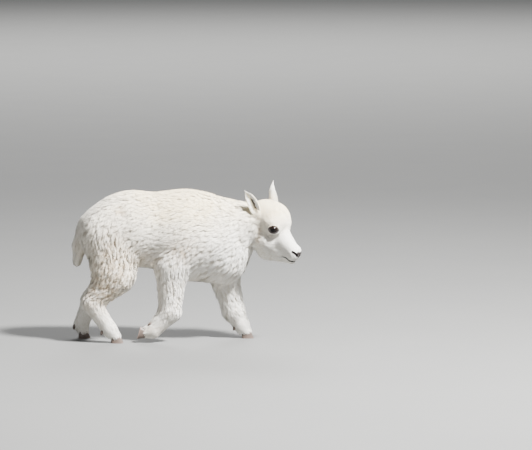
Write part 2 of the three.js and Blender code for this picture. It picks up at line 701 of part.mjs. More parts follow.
add('torso', torso(), WOOL);
add('neck', neck(), WOOL);
add('head', head(), SHORT_HAIR);
add('tail', tail(), WOOL);
for (const [name, side] of Object.entries(SIDES)) {
  add(`eye_${name}`, eyeball(side), EYE);
  add(`ear_${name}`, ear(name), SHORT_HAIR);
}
for (const [legName, leg] of Object.entries(LEGS)) {
  legPieces(leg).forEach((solid, i) => add(`${legName}_${leg.pieces[i]}`, solid, i ? SHORT_HAIR : WOOL));
  add(`${legName}_claw_inner`, claw(FEET[legName], legName.endsWith('left') ? -1 : 1), HORN);
  for (const side of [-1, 1]) {
    const place = (side > 0) === legName.endsWith('left') ? 'outer' : 'inner';
    add(`${legName}_dewclaw_${place}`, dewclaw(leg.dewclaws, side), HORN);
  }
  add(`${legName}_claw_outer`, claw(FEET[legName], legName.endsWith('left') ? 1 : -1), HORN);
}

// Set down on z = 0 with the middle of its outer box over the origin.
const around = new THREE.Box3().setFromObject(kid);
const middle = around.getCenter(new THREE.Vector3());
kid.position.set(-middle.x, -middle.y, -around.min.z);

export default kid;
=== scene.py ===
import math

import bpy
import numpy as np
from mathutils import Matrix, Vector
from mathutils.kdtree import KDTree


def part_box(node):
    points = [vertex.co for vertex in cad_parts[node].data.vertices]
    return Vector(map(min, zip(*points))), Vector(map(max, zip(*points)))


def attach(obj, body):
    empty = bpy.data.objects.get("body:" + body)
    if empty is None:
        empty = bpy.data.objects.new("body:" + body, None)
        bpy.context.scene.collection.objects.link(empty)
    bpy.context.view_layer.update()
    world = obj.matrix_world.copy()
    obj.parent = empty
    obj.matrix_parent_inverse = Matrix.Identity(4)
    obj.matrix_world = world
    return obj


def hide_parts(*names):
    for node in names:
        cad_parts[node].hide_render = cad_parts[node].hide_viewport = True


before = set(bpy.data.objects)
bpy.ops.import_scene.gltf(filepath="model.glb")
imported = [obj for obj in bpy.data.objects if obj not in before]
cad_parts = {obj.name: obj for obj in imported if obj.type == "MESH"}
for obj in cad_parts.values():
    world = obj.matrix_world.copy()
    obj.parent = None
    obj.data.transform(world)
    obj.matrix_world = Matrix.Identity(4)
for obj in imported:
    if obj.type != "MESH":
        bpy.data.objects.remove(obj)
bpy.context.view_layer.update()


# The form: a kid's trunk, legs, tail and head, out to the tips of its coat. It is flesh on bones, so it is
# laid down as tapered masses along each bone and grown together softly, where muscle would bridge them.
# Lengths are in millimetres here, +X the way it walks, +Y its left side, +Z up from the ground.

def ball(at, radius, width, blend, kind):
    """A mass round one point."""
    return at, at, radius, radius, width, blend, kind


def mirrored(point, side):
    return (point[0], side * point[1], point[2])


# A mass runs from one point to another: a radius at each end, how wide it is for its height, how softly
# it joins what comes before it, and the kind of coat that it carries.
TRUNK = [
    ((140, 0, 260), (55, 0, 285), 99, 108, 0.72, 24, "barrel"),
    ((55, 0, 285), (-75, 0, 295), 108, 95, 0.769, 24, "barrel"),
    ((-75, 0, 295), (-140, 0, 284), 95, 78, 0.86, 24, "rump"),
    ball((88, 0, 330), 59, 0.64, 24, "barrel"),
    ball((-112, 0, 314), 65, 0.84, 24, "rump"),
    ((163, 0, 215), (70, 0, 212), 61, 54, 0.86, 24, "chest"),
    ((198, -3, 260), (160, 0, 215), 40, 58, 0.86, 24, "chest"),
    ((234, -9, 308), (130, 0, 306), 56, 78, 0.76, 24, "neck"),
    ((-192, 0, 309), (-205, 0, 288), 17, 14, 0.95, 18, "tail"),
    ((105, -40, 270), (38, -44, 208), 46, 44, 0.8, 24, "shoulder"),
    ((118, 40, 262), (158, 44, 198), 46, 43, 0.8, 24, "shoulder"),
]
FORELEG_RIGHT = [
    ((28, -44, 195), (25, -45, 84), 43, 30, 0.84, 24, "forearm"),
    ((24, -45, 80), (-20, -46, 32), 29, 20, 0.86, 12, "cannon"),
    ((-20, -46, 31), (-39, -46, 27), 19, 15.5, 0.95, 8, "pastern"),
]
FORELEG_LEFT = [
    ((160, 44, 190), (190, 42, 74), 44, 30, 0.8, 24, "forearm"),
    ((191, 42, 72), (211, 43, 34), 28, 21, 0.84, 12, "cannon"),
    ((211, 43, 34), (222, 43, 17), 20, 16.5, 0.95, 8, "pastern"),
]
HINDLEG_RIGHT = [
    ((-130, -40, 272), (-122, -48, 192), 72, 61, 0.6, 24, "haunch"),
    ((-120, -48, 174), (-178, -48, 106), 52, 28, 0.72, 16, "shank"),
    ((-178, -48, 102), (-134, -50, 36), 25, 20, 0.85, 12, "cannon"),
    ((-134, -50, 35), (-119, -50, 17), 19, 16, 0.95, 8, "pastern"),
]
HINDLEG_LEFT = [
    ((-134, 40, 272), (-124, 45, 196), 72, 58, 0.6, 24, "haunch"),
    ((-120, 45, 172), (-187, 45, 103), 46, 26, 0.76, 16, "shank"),
    ((-188, 45, 100), (-213, 46, 36), 24, 20, 0.86, 12, "cannon"),
    ((-213, 46, 36), (-208, 46, 17), 18.5, 16, 0.95, 8, "pastern"),
]
TAIL = [
    ((-198, 0, 306), (-213, 0, 252), 17, 18.5, 0.95, 8, "tail"),
    ((-213, 0, 252), (-220, 0, 207), 18.5, 12, 0.95, 12, "tail"),
]
# The head is laid out from the poll, between the ears: forward, left and up in its own frame.
EYE_AT = (48.1, 30, -72.8)
EYE_RADIUS = 13.5
EAR_AT = {-1: (1, -33, -31), 1: (5, 36, -31)}  # by side, the left one carried forward
MUZZLE_TIP = (86, 0, -135)
HEAD = [
    ball((29, 0, -53), 47.5, 0.92, 14, "crown"),
    ball((5, 0, -40), 39, 0.95, 14, "crown"),
    ((54, 0, -104), MUZZLE_TIP, 29, 19, 0.88, 14, "muzzle"),
    ((16, 0, -124), (79, 0, -152), 42, 15.5, 0.76, 12, "jaw"),
    ball((94, 0, -133), 14, 1.05, 8, "muzzle"),
    ball((80, 0, -155), 12, 1.1, 6, "muzzle"),
]
for side in (-1, 1):
    HEAD += [
        ball((42, side * 24, -60), 20, 1, 12, "crown"),
        ball(mirrored(EYE_AT, side), EYE_RADIUS + 3, 1, 10, "lids"),
        ball((16, side * 16, -108), 32, 1, 14, "jaw"),
        ball((90, side * 7.5, -143), 12.5, 1, 7, "muzzle"),
        ball(np.subtract(EAR_AT[side], (0, 0, 3)), 13.5, 1, 10, "ear root"),
    ]
BODY = TRUNK + FORELEG_RIGHT + FORELEG_LEFT + HINDLEG_RIGHT + HINDLEG_LEFT + TAIL

POLL = np.array((267.0, -12.0, 374.0))
yaw, roll = math.radians(-32), math.radians(5)
# Its columns are the head's forward, left and up.
HEAD_TURN = np.array(
    ((math.cos(yaw), -math.sin(yaw), 0), (math.sin(yaw), math.cos(yaw), 0), (0, 0, 1))
) @ np.array(((1, 0, 0), (0, math.cos(roll), -math.sin(roll)), (0, math.sin(roll), math.cos(roll))))


def to_head(points):
    return (points - POLL) @ HEAD_TURN


def from_head(points):
    return np.asarray(points, float) @ HEAD_TURN.T + POLL


# How deep the skin lies under the tips of each kind of coat.
COAT_DEPTH = {
    "barrel": 7.5, "rump": 7.5, "chest": 11, "neck": 8.5, "tail": 7, "shoulder": 7.5, "haunch": 9.5,
    "forearm": 6.5, "shank": 6.5, "cannon": 3, "pastern": 2.2, "crown": 2.4, "jaw": 3.6, "lids": 1.2,
    "muzzle": 1, "ear root": 8,
}
KINDS = list(COAT_DEPTH)
HEAD_KINDS = [KINDS.index(kind) for kind in ("crown", "jaw", "lids", "muzzle", "ear root")]
KIND_BLEND = 8  # over this distance one kind of coat turns into the next
DEPTHS = np.array(list(COAT_DEPTH.values()), float)
FAR = 1e3  # beyond anything here


def unit(vectors):
    """Rows of vectors, each made one long."""
    return vectors / np.maximum(np.linalg.norm(vectors, axis=-1, keepdims=True), 1e-9)


def off_mass(points, mass):
    start, end, radius_start, radius_end, width = mass[:5]
    squeeze = np.array((1, 1 / width, 1))
    start = np.asarray(start, float) * squeeze
    bone = np.asarray(end, float) * squeeze - start
    away = points * squeeze - start
    length2 = bone @ bone
    t = np.clip(away @ bone / length2, 0, 1) if length2 else np.zeros(len(points))
    gap = np.sqrt(((away - t[:, None] * bone) ** 2).sum(1))
    return gap - radius_start - t * (radius_end - radius_start)


def pull(gap):
    """How strongly a mass counts at this distance from it."""
    return np.exp(np.minimum(-gap / KIND_BLEND, 60))


def softest(a, b, blend):
    h = np.maximum(blend - np.abs(a - b), 0) / blend
    return np.minimum(a, b) - h * h * blend / 4


def form(points):
    """How far points lie outside the coat's tips, and what share each kind of coat has in them."""
    off = np.full(len(points), FAR)
    shares = np.zeros((len(points), len(KINDS)))
    for masses, places in ((BODY, points), (HEAD, to_head(points))):
        for mass in masses:
            gap = off_mass(places, mass)
            off = softest(off, gap, mass[5])
            shares[:, KINDS.index(mass[6])] += pull(gap)
    return off, shares / shares.sum(1, keepdims=True)


def off_skin(points):
    off, shares = form(points)
    return off + shares @ DEPTHS


def off_coat(points):
    return form(points)[0]


def slope(surface, points, reach=0.6):
    """The way straight out from a surface, and how steeply its distance grows that way."""
    grows = np.empty_like(points)
    for axis in range(3):
        step = np.zeros(3)
        step[axis] = reach
        grows[:, axis] = (surface(points + step) - surface(points - step)) / (2 * reach)
    steep = np.linalg.norm(grows, axis=1, keepdims=True)
    return grows / np.maximum(steep, 1e-6), np.maximum(steep, 0.3)


def onto(surface, points, rounds=2):
    for _ in range(rounds):
        out, steep = slope(surface, points)
        points = points - out * surface(points)[:, None] / steep
    return points


# Where the built frame stands in these lengths: the middle of an eyeball is known in both.
eye_low, eye_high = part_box("eye_right")
STANDS_AT = np.array((eye_low + eye_high) / 2) * 1000 - from_head(mirrored(EYE_AT, -1))


def metres(points):
    return (points + STANDS_AT) * 0.001


# The skin: one hide over the whole kid, from the nose to the coronets and the tail's tip, with the
# furred shells of the ears. It is meshed evenly, then finer over the head and finest round the eyes,
# nostrils and mouth, where its folds are raised.
SKIN_CELL = 3.2
NEAR = 4  # the form is first read on a grid this many times as coarse
SKIN_LOW, SKIN_HIGH = (-262, -124, -4), (402, 124, 440)


def on_grid(low, high):
    """The skin's distance on a fine grid, read only where the skin may pass."""
    count = np.ceil((np.subtract(high, low)) / (SKIN_CELL * NEAR)).astype(int)
    coarse = np.stack(np.meshgrid(*[np.arange(n) for n in count], indexing="ij"), -1).reshape(-1, 3)
    middles = np.array(low) + (coarse + 0.5 - 0.5 / NEAR) * SKIN_CELL * NEAR
    values = off_skin(middles)
    fine = np.kron(values.reshape(count), np.ones((NEAR,) * 3))
    close = np.kron((np.abs(values) < SKIN_CELL * NEAR * 1.8).reshape(count), np.ones((NEAR,) * 3, bool))
    fine[close] = off_skin(np.array(low) + np.argwhere(close) * SKIN_CELL)
    return fine


def hide_over(low, high):
    """Points and triangles of the surface where the skin's distance passes zero."""
    values = on_grid(low, high)
    inside = values < 0
    cells = tuple(n - 1 for n in values.shape)
    total = np.zeros(cells + (3,))
    crossed = np.zeros(cells)
    corners = [(a, b, c) for a in (0, 1) for b in (0, 1) for c in (0, 1)]

    def corner(grid, at):
        return grid[at[0]:at[0] + cells[0], at[1]:at[1] + cells[1], at[2]:at[2] + cells[2]]

    for a in corners:
        for axis in range(3):
            if a[axis]:
                continue
            b = tuple(v + (i == axis) for i, v in enumerate(a))
            va, vb = corner(values, a), corner(values, b)
            cuts = (va < 0) != (vb < 0)
            t = np.where(cuts, va / np.where(cuts, va - vb, 1), 0)
            for i in range(3):
                total[..., i] += np.where(cuts, a[i] + (t if i == axis else 0), 0)
            crossed += cuts
    found = np.argwhere(crossed > 0)
    number = np.full(cells, -1)
    number[tuple(found.T)] = np.arange(len(found))
    middle = total[tuple(found.T)] / crossed[tuple(found.T)][:, None]
    points = np.array(low) + (found + middle) * SKIN_CELL
    triangles = []
    for axis in range(3):
        step = [0, 0, 0]
        step[axis] = 1
        size = tuple(n - s for n, s in zip(inside.shape, step))
        here = inside[:size[0], :size[1], :size[2]]
        ahead = inside[step[0]:, step[1]:, step[2]:]
        at = np.argwhere(here != ahead)
        outward = here[tuple(at.T)]
        u, v = np.zeros(3, int), np.zeros(3, int)
        u[(axis + 1) % 3] = 1
        v[(axis + 2) % 3] = 1
        cells_round = ((0, 0), (1, 0), (1, 1), (0, 1))
        quad = np.stack([number[tuple((at - du * u - dv * v).T)] for du, dv in cells_round], 1)
        quad[~outward] = quad[~outward, ::-1]
        triangles += [quad[:, (0, 1, 2)], quad[:, (0, 2, 3)]]
    return onto(off_skin, points), np.concatenate(triangles)


def finer(points, triangles, wanted):
    """Halves every edge whose middle is wanted, and returns also which points are new."""
    edges = np.sort(triangles[:, [(0, 1), (1, 2), (2, 0)]], axis=2).reshape(-1, 2)
    pairs, edge_of = np.unique(edges, axis=0, return_inverse=True)
    edge_of = edge_of.reshape(-1, 3)
    middles = points[pairs].mean(1)
    halved = wanted(middles)
    number = np.full(len(pairs), -1)
    number[halved] = len(points) + np.arange(halved.sum())
    cut = number[edge_of]
    count = (cut >= 0).sum(1)
    pieces = [triangles[count == 0]]
    for turn in range(3):
        a, b, c = np.roll(triangles, -turn, axis=1).T
        ab, bc, ca = np.roll(cut, -turn, axis=1).T
        one = (count == 1) & (ab >= 0)
        pieces += [np.stack((a, ab, c), 1)[one], np.stack((ab, b, c), 1)[one]]
        two = (count == 2) & (ca < 0)
        pieces += [np.stack(q, 1)[two] for q in ((ab, b, bc), (a, ab, bc), (a, bc, c))]
    a, b, c = triangles[count == 3].T
    ab, bc, ca = cut[count == 3].T
    pieces += [np.stack(q, 1) for q in ((a, ab, ca), (ab, b, bc), (ca, bc, c), (ab, bc, ca))]
    fresh = np.arange(len(points) + halved.sum()) >= len(points)
    return np.concatenate((points, middles[halved])), np.concatenate(pieces), fresh


def smooth_step(value, start, end):
    t = np.clip((value - start) / (end - start), 0, 1)
    return t * t * (3 - 2 * t)


def off_path(points, path):
    """Distance to a bent line."""
    nearest = np.full(len(points), FAR)
    for a, b in zip(path[:-1], path[1:]):
        way = b - a
        t = np.clip((points - a) @ way / (way @ way), 0, 1)
        nearest = np.minimum(nearest, np.linalg.norm(points - a - t[:, None] * way, axis=1))
    return nearest


# The eye looks out along its own axis. The lids meet in two corners, the front one a little lower.
EYE_OUTWARD = (0.5, 0.86, 0.06)
EYE_TILT = math.radians(-12)
# Measured round the ball: half the opening, and how high each lid's edge arches from the corners' line.
LID_HALF_WIDTH = 14.6
UPPER_LID, LOWER_LID = 9.8, 7.7


def lid_radius(arch):
    """Of the circle that a lid's edge follows from corner to corner."""
    return (LID_HALF_WIDTH**2 + arch**2) / (2 * arch)


def eye_axes(side):
    """In the head's frame: the eye's forward, its upward, and its outward."""
    outward = np.array(mirrored(EYE_OUTWARD, side)) / np.linalg.norm(EYE_OUTWARD)
    upward = np.array((0, 0, 1)) - outward * outward[2]
    upward /= np.linalg.norm(upward)
    forward = np.cross(upward, outward) * -side
    forward *= np.sign(forward[0])
    return (
        forward * math.cos(EYE_TILT) + upward * math.sin(EYE_TILT),
        upward * math.cos(EYE_TILT) - forward * math.sin(EYE_TILT),
        outward,
    )


def off_lids(places, side):
    """How far outside the opening between the lids a place lies, and how far from the eye's middle."""
    from_eye = places - mirrored(EYE_AT, side)
    away = np.linalg.norm(from_eye, axis=1)
    forward, upward, outward = eye_axes(side)
    x, y, z = from_eye @ forward, from_eye @ upward, from_eye @ outward
    across = np.maximum(np.hypot(x, y), 1e-6)
    round_ball = EYE_RADIUS * np.arctan2(across, z) / across
    x, y = x * round_ball, y * round_ball
    edge = -FAR
    for way, arch in ((1, UPPER_LID), (-1, LOWER_LID)):
        bend = lid_radius(arch)
        edge = np.maximum(edge, np.hypot(x, y + way * (bend - arch)) - bend)
    return np.where((z > 0) & (away < 3 * EYE_RADIUS), edge, FAR), away


points, triangles = hide_over(SKIN_LOW, SKIN_HIGH)


def on_head(middles):
    return form(middles)[1][:, HEAD_KINDS].sum(1) > 0.5


points, triangles, fresh = finer(points, triangles, on_head)
points[fresh] = onto(off_skin, points[fresh])

NOSTRIL = [(95, 17, -132.5), (99.5, 15.5, -135.5), (103, 12, -140), (104, 8.5, -145)]
NOSE_PAD = [(106, 7.5, -137), (107, 2, -138.5), (105.5, 1, -144), (102, 0, -149)]
MOUTH = [
    (44, 15.3, -150.5), (54, 15, -148.3), (62, 14.4, -146.8), (69, 13, -149), (75.5, 12, -153),
    (82, 10.5, -157), (88, 7.5, -159), (92, 3, -160), (93.5, 0, -160),
]
SOCKET = [(29, 43, -74), (28, 42, -84), (36, 39, -92), (50, 37, -91)]  # the hollow behind and under the eye


def on_skin(path, side):
    return to_head(onto(off_skin, from_head([mirrored(p, side) for p in path]), 3))


def detail_of(places):
    """For places on the head: the least distance to an eye's lids, a nostril, the nose's pad, the mouth."""
    lids = np.minimum(*[off_lids(places, side)[0] for side in (-1, 1)])
    lines = [
        np.minimum(*[off_path(places, on_skin(path, side)) for side in (-1, 1)])
        for path in (NOSTRIL, NOSE_PAD, MOUTH)
    ]
    return lids, *lines


for reach in (11, 4):
    def near_detail(middles):
        lids, nostril, _, mouth = detail_of(to_head(middles))
        return (lids < reach) | (np.minimum(nostril, mouth) < reach * 0.7)

    points, triangles, fresh = finer(points, triangles, near_detail)
    points[fresh] = onto(off_skin, points[fresh])

# Each foot stands on the middle of its soles, turned a little out. The lifted one is folded back, and its
# soles face behind it and a little up.
HOOF_HEIGHT = 17
FOOT_REACH = 16
FOOT_HALF_WIDTH = 34
SKIN_END = HOOF_HEIGHT - 1  # a little inside the top of the horn


def turned(angle, axis):
    return np.array(Matrix.Rotation(math.radians(angle), 3, axis))


FEET = {
    "foreleg_right": (np.array((-57, -46, 26)), turned(107, "Y")),
    "foreleg_left": (np.array((227, 43, 0)), turned(3, "Z")),
    "hindleg_right": (np.array((-114, -50, 0)), turned(-5, "Z")),
    "hindleg_left": (np.array((-205, 46, 0)), turned(4, "Z")),
}


def above_coronet(points):
    """How far points lie up the leg from the nearest foot's coronet, where the horn begins."""
    up = np.full(len(points), FAR)
    for stand, axes in FEET.values():
        local = (points - stand) @ axes
        close = (np.abs(local[:, :2]) < FOOT_HALF_WIDTH).all(1) & (local[:, 2] > -FOOT_REACH)
        up = np.where(close, local[:, 2] - HOOF_HEIGHT, up)
    return up


out_of_skin, _ = slope(off_skin, points)
# The skin ends inside the top of the hooves.
for stand, axes in FEET.values():
    local = (points - stand) @ axes
    close = (np.abs(local[:, :2]) < FOOT_HALF_WIDTH).all(1)
    under = close & (local[:, 2] > -FOOT_REACH) & (local[:, 2] < SKIN_END)
    deep = np.clip((SKIN_END - local[under, 2]) / 12, 0, 1)
    local[under, 2] = SKIN_END - 3 * deep
    local[under, :2] = (local[under, :2] + (1, 0)) * (0.86 - 0.5 * deep)[:, None]
    points[under] = local[under] @ axes.T + stand
places = to_head(points)
lids, nostril, nose_pad, mouth = detail_of(places)
lip = smooth_step(places[:, 0], 48, 72)
lip_front = smooth_step(places[:, 0], 70, 86)  # the dark line of the lips is widest in front
hollow = np.minimum(*[off_path(places, on_skin(SOCKET, side)) for side in (-1, 1)])
# Skin shows bare at the lids' edges, in the nostrils, on the nose's pad and along the lips, and half
# through the thin hair of the hollow behind the eye, which is also painted darker as its shade.
bare_and_hollow_shade = np.maximum.reduce((
    1 - smooth_step(lids, 1.8, 3.1),
    1 - smooth_step(nostril, 3.1, 4.6),
    1 - smooth_step(nose_pad, 3.6, 5.4),
    (1 - smooth_step(mouth - 0.9 * lip_front, 1.5, 2.9)) * (0.15 + 0.85 * lip),
    # painted shade of the hollow, with its thin hair
    0.6 * np.exp(-((hollow / 3.2) ** 2)),
))
head_out = out_of_skin @ HEAD_TURN

# Nostrils sink in under a raised rim, and the lips part along a groove between two soft rolls.
rise = -4.5 * (1 - smooth_step(nostril, 0.9, 2.9)) + 0.9 * np.exp(-(((nostril - 4.4) / 1.4) ** 2))
rise += -2.4 * (1 - smooth_step(mouth, 0.5, 2.5)) + 0.8 * np.exp(-(((mouth - 4.2) / 1.5) ** 2))
rise += -2.2 * np.exp(-((hollow / 6) ** 2))
places += head_out * rise[:, None]

# The lids lie on the eyeball, thick at their edge, with a crease above the upper one, and fade into the
# socket. Inside their opening the skin goes back behind the ball.
LID_RISE = (  # how far outside the opening, and how far off the ball
    (-1.2, -2.6), (-0.5, -2.4), (0.1, 0.5), (0.9, 1.5), (2.4, 2.1), (3.8, 1.9), (4.8, 1.0), (6.2, 1.8),
    (8, 2.4),
)
for side in (-1, 1):
    edge, away = off_lids(places, side)
    lid = EYE_RADIUS + np.interp(edge, *zip(*LID_RISE))
    keep = smooth_step(edge, 3, 12)
    target = lid * (1 - keep) + away * keep
    near_eye = edge < 12
    centre = np.array(mirrored(EYE_AT, side))
    places[near_eye] = (centre + (places - centre) * (target / away)[:, None])[near_eye]
points = from_head(places)

# An ear is a leaf of gristle rolled into a cup, wide open from a closed root. It grows from the skull
# behind the eye, and a thin furred skin covers both of its faces.
EAR_LENGTH = 70
EAR_HALF_WIDTH = 13
EAR_THICKNESS = 4.6
EAR_WIDEST = 0.38  # of the way up
EAR_ROOT_WRAP, EAR_TIP_WRAP = 2.1, 0.75  # half the angle that the cup closes round
EAR_ROWS, EAR_COLUMNS = 34, 22
EARS = {
    "right": {"side": -1, "lean": (-0.2, -0.42, 0.86), "opening": (0.55, -0.83, 0), "bow": 2.5},
    "left": {"side": 1, "lean": (-0.06, 0.26, 0.96), "opening": (0.25, 0.97, 0), "bow": 4},
}


def ear_axes(ear):
    """In the head's frame: the way the cup opens, the way across it, and the way up to its tip."""
    up = np.array(ear["lean"]) / np.linalg.norm(ear["lean"])
    across = np.cross(up, ear["opening"])
    across /= np.linalg.norm(across)
    return np.stack((np.cross(across, up), across, up))


def ear_points(ear, s, t, outer):
    """s runs from root to tip, t from edge to edge, and outer is 1 on the back and -1 in the cup."""
    widening = 0.66 + 0.34 * np.sin(math.pi / 2 * s / EAR_WIDEST)
    narrowing = 1 - (np.maximum(s - EAR_WIDEST, 0) / (1 - EAR_WIDEST)) ** 2
    half = EAR_HALF_WIDTH * np.maximum(np.where(s < EAR_WIDEST, widening, narrowing), 0.05)
    wrap = EAR_ROOT_WRAP + (EAR_TIP_WRAP - EAR_ROOT_WRAP) * np.minimum(1, s * 1.5)
    radius = half / np.sin(np.minimum(wrap, math.pi / 2))
    thick = EAR_THICKNESS * (1 - 0.7 * s) * (1 - 0.65 * t * t)
    r = radius + outer * thick / 2 * np.minimum(1, half / 6)
    angle = math.pi + t * wrap
    lean = 3 * np.sin(math.pi * s)
    bow = -ear["side"] * ear["bow"] * np.sin(math.pi * s) ** 2  # its middle bows forwards
    cup = np.stack((radius * 0.6 + r * np.cos(angle) - lean, r * np.sin(angle) + bow, EAR_LENGTH * s), -1)
    return from_head(cup @ ear_axes(ear) + EAR_AT[ear["side"]])


ear_s, ear_t = np.meshgrid(np.linspace(-0.2, 1, EAR_ROWS), np.linspace(-1, 1, EAR_COLUMNS), indexing="ij")
ears = []
for ear in EARS.values():
    back = ear_points(ear, ear_s, ear_t, 1).reshape(-1, 3)
    cup = ear_points(ear, ear_s, ear_t, -1).reshape(-1, 3)
    grid = np.arange(EAR_ROWS * EAR_COLUMNS).reshape(EAR_ROWS, EAR_COLUMNS)
    quads = np.stack((grid[:-1, :-1], grid[:-1, 1:], grid[1:, 1:], grid[1:, :-1]), -1).reshape(-1, 4)
    edge = np.concatenate((grid[0, :-1], grid[:-1, -1], grid[-1, :0:-1], grid[:0:-1, 0]))
    rim = np.stack((edge, edge + grid.size, np.roll(edge, -1) + grid.size, np.roll(edge, -1)), -1)
    faces = np.concatenate((quads, quads[:, ::-1] + grid.size, rim))
    ears.append((np.concatenate((back, cup)), faces))


def solid_piece(name, points, faces):
    """A smooth-shaded object from points in millimetres and faces of three corners."""
    mesh = bpy.data.meshes.new(name)
    mesh.vertices.add(len(points))
    mesh.vertices.foreach_set("co", metres(points).astype(np.float32).ravel())
    mesh.loops.add(faces.size)
    mesh.loops.foreach_set("vertex_index", faces.astype(np.int32).ravel())
    mesh.polygons.add(len(faces))
    mesh.polygons.foreach_set("loop_start", np.arange(0, faces.size, faces.shape[1], dtype=np.int32))
    mesh.update(calc_edges=True)
    mesh.polygons.foreach_set("use_smooth", np.ones(len(faces), bool))
    piece = bpy.data.objects.new(name, mesh)
    bpy.context.scene.collection.objects.link(piece)
    return piece


def write_values(piece, name, values):
    """Keeps numbers on the piece's points for its material: three to a point."""
    layer = piece.data.attributes.new(name, "FLOAT_VECTOR", "POINT")
    layer.data.foreach_set("vector", np.ascontiguousarray(values, np.float32).ravel())


def in_threes(quads):
    return np.concatenate((quads[:, (0, 1, 2)], quads[:, (0, 2, 3)]))


skin_points, skin_faces = [points], [triangles]
for ear_skin, quads in ears:
    skin_faces.append(in_threes(quads) + sum(len(p) for p in skin_points))
    skin_points.append(ear_skin)
skin_points = np.concatenate(skin_points)
skin_faces = np.concatenate(skin_faces)
in_ear = np.arange(len(skin_points)) - len(points)  # counts on through both ears' points
ear_size = EAR_ROWS * EAR_COLUMNS
# Down a slit in each ear's cup the skin is dark: the ear's own darker skin and the painted shadow of its
# canal.
cup_bare_and_slit_shade = np.zeros(len(skin_points))
for first in (0, 2 * ear_size):
    inner = (in_ear >= first + ear_size) & (in_ear < first + 2 * ear_size)
    front = 0.3 if first else -0.3  # the slit runs near the cup's front rim: dark skin with the painted shadow of the ear's canal
    slit = 1 - smooth_step(np.abs(ear_t.ravel() - front), 0.2, 0.55)
    cup_bare_and_slit_shade[inner] = slit * (1 - smooth_step(ear_s.ravel(), 0.5, 0.72))

# Markings, which the coat shares: how warm a cream, how much tan, and how bare. The tan is mostly from the
# ground it lies on, but it is painted shade under the eye and over the right horn bud, and the bare share is
# painted shade too in the hollow behind the eye and along the ears' slits.
# A stain is a soft patch: its middle, its reach along each axis, and how strong it is.
WARM_PATCHES = [
    ((80, 0, 385), (210, 130, 75), 1.25),
    ((60, 0, 330), (120, 120, 60), 0.5),
    ((297, -15, 352), (48, 60, 44), 1.6),
    ((-120, 0, 210), (90, 120, 110), 0.6),
]
TAN_PATCHES = [
    ((78, -75, 255), (50, 60, 32), 0.7),
    ((58, -75, 243), (26, 60, 22), 0.4),
    ((-94, -55, 352), (14, 30, 8), 1.6),
    ((-120, -80, 215), (68, 60, 88), 1.1),
    ((-150, -60, 130), (46, 50, 46), 0.9),
    ((-30, -80, 225), (46, 50, 24), 0.6),
    ((-112, 75, 215), (62, 60, 70), 0.8),
    ((262, -49, 281), (6, 16, 24), 1.3),
    ((14, -45, 120), (40, 40, 60), 0.35),
    ((-30, -46, 36), (40, 40, 22), 0.6),
    # painted shade of the hollow under the eye, with a little tan
    ((294, -41, 284), (17, 20, 7), 0.5),
    # painted shade of the hair's whorl over the right horn bud
    ((301, -62, 343), (7, 14, 2.5), 0.6),
    ((196, 43, 64), (26, 30, 30), 0.25),
    ((110, 0, 165), (120, 80, 24), 0.5),
    ((-213, -10, 268), (20, 30, 44), 0.4),
]


def patches(points, stains):
    total = np.zeros(len(points))
    for middle, reach, strength in stains:
        total += strength * np.exp(-((((points - middle) / reach) ** 2).sum(1)))
    return total


def markings(points):
    return np.stack((patches(points, WARM_PATCHES), patches(points, TAN_PATCHES)), 1)


skin = solid_piece("skin", skin_points, skin_faces)
skin_bare_and_shade = np.concatenate((bare_and_hollow_shade, cup_bare_and_slit_shade[len(points):]))
write_values(skin, "marks", np.column_stack((markings(skin_points), skin_bare_and_shade)))


def fresh_material(name):
    material = bpy.data.materials.new(name)
    material.use_nodes = True
    tree = material.node_tree
    return material, tree.nodes, tree.links, tree.nodes["Principled BSDF"]


WHITE_WOOL = (0.95, 0.93, 0.88, 1)
CREAM_WOOL = (0.93, 0.78, 0.5, 1)
TAN_WOOL = (0.72, 0.57, 0.39, 1)
BARE_SKIN = (0.022, 0.017, 0.016, 1)


def blended(nodes, links, share, one, other):
    """A colour between two others. Each is a colour or a socket."""
    mix = nodes.new("ShaderNodeMix")
    mix.data_type = "RGBA"
    for socket, value in ((mix.inputs[0], share), (mix.inputs[6], one), (mix.inputs[7], other)):
        if isinstance(value, bpy.types.NodeSocket):
            links.new(value, socket)
        else:
            socket.default_value = value
    return mix.outputs[2]


def worked(nodes, links, how, one, other=0.0):
    """A number worked out from two others. Each is a number or a socket."""
    sum_node = nodes.new("ShaderNodeMath")
    sum_node.operation = how
    sum_node.use_clamp = True
    for socket, value in zip(sum_node.inputs, (one, other)):
        if isinstance(value, bpy.types.NodeSocket):
            links.new(value, socket)
        else:
            socket.default_value = value
    return sum_node.outputs[0]


def grain(nodes, links, scale, detail=2.0, where=None):
    """Cloudy noise over the object's own place, of so many waves to the metre."""
    noise = nodes.new("ShaderNodeTexNoise")
    noise.inputs["Scale"].default_value = scale
    noise.inputs["Detail"].default_value = detail
    if where is None:
        where = nodes.new("ShaderNodeTexCoord").outputs["Object"]
    links.new(where, noise.inputs["Vector"])
    return noise.outputs["Fac"]


def marks_on(nodes, links):
    """The sockets of the three numbers that each point of a piece carries as its marks."""
    marks = nodes.new("ShaderNodeAttribute")
    marks.attribute_name = "marks"
    parts = nodes.new("ShaderNodeSeparateXYZ")
    links.new(marks.outputs["Vector"], parts.inputs[0])
    return parts.outputs


def raise_by(nodes, links, shader, height, distance, strength):
    """Gives a finish its relief, from a height between 0 and 1."""
    bump = nodes.new("ShaderNodeBump")
    bump.inputs["Distance"].default_value = distance
    bump.inputs["Strength"].default_value = strength
    links.new(height, bump.inputs["Height"])
    links.new(bump.outputs["Normal"], shader.inputs["Normal"])


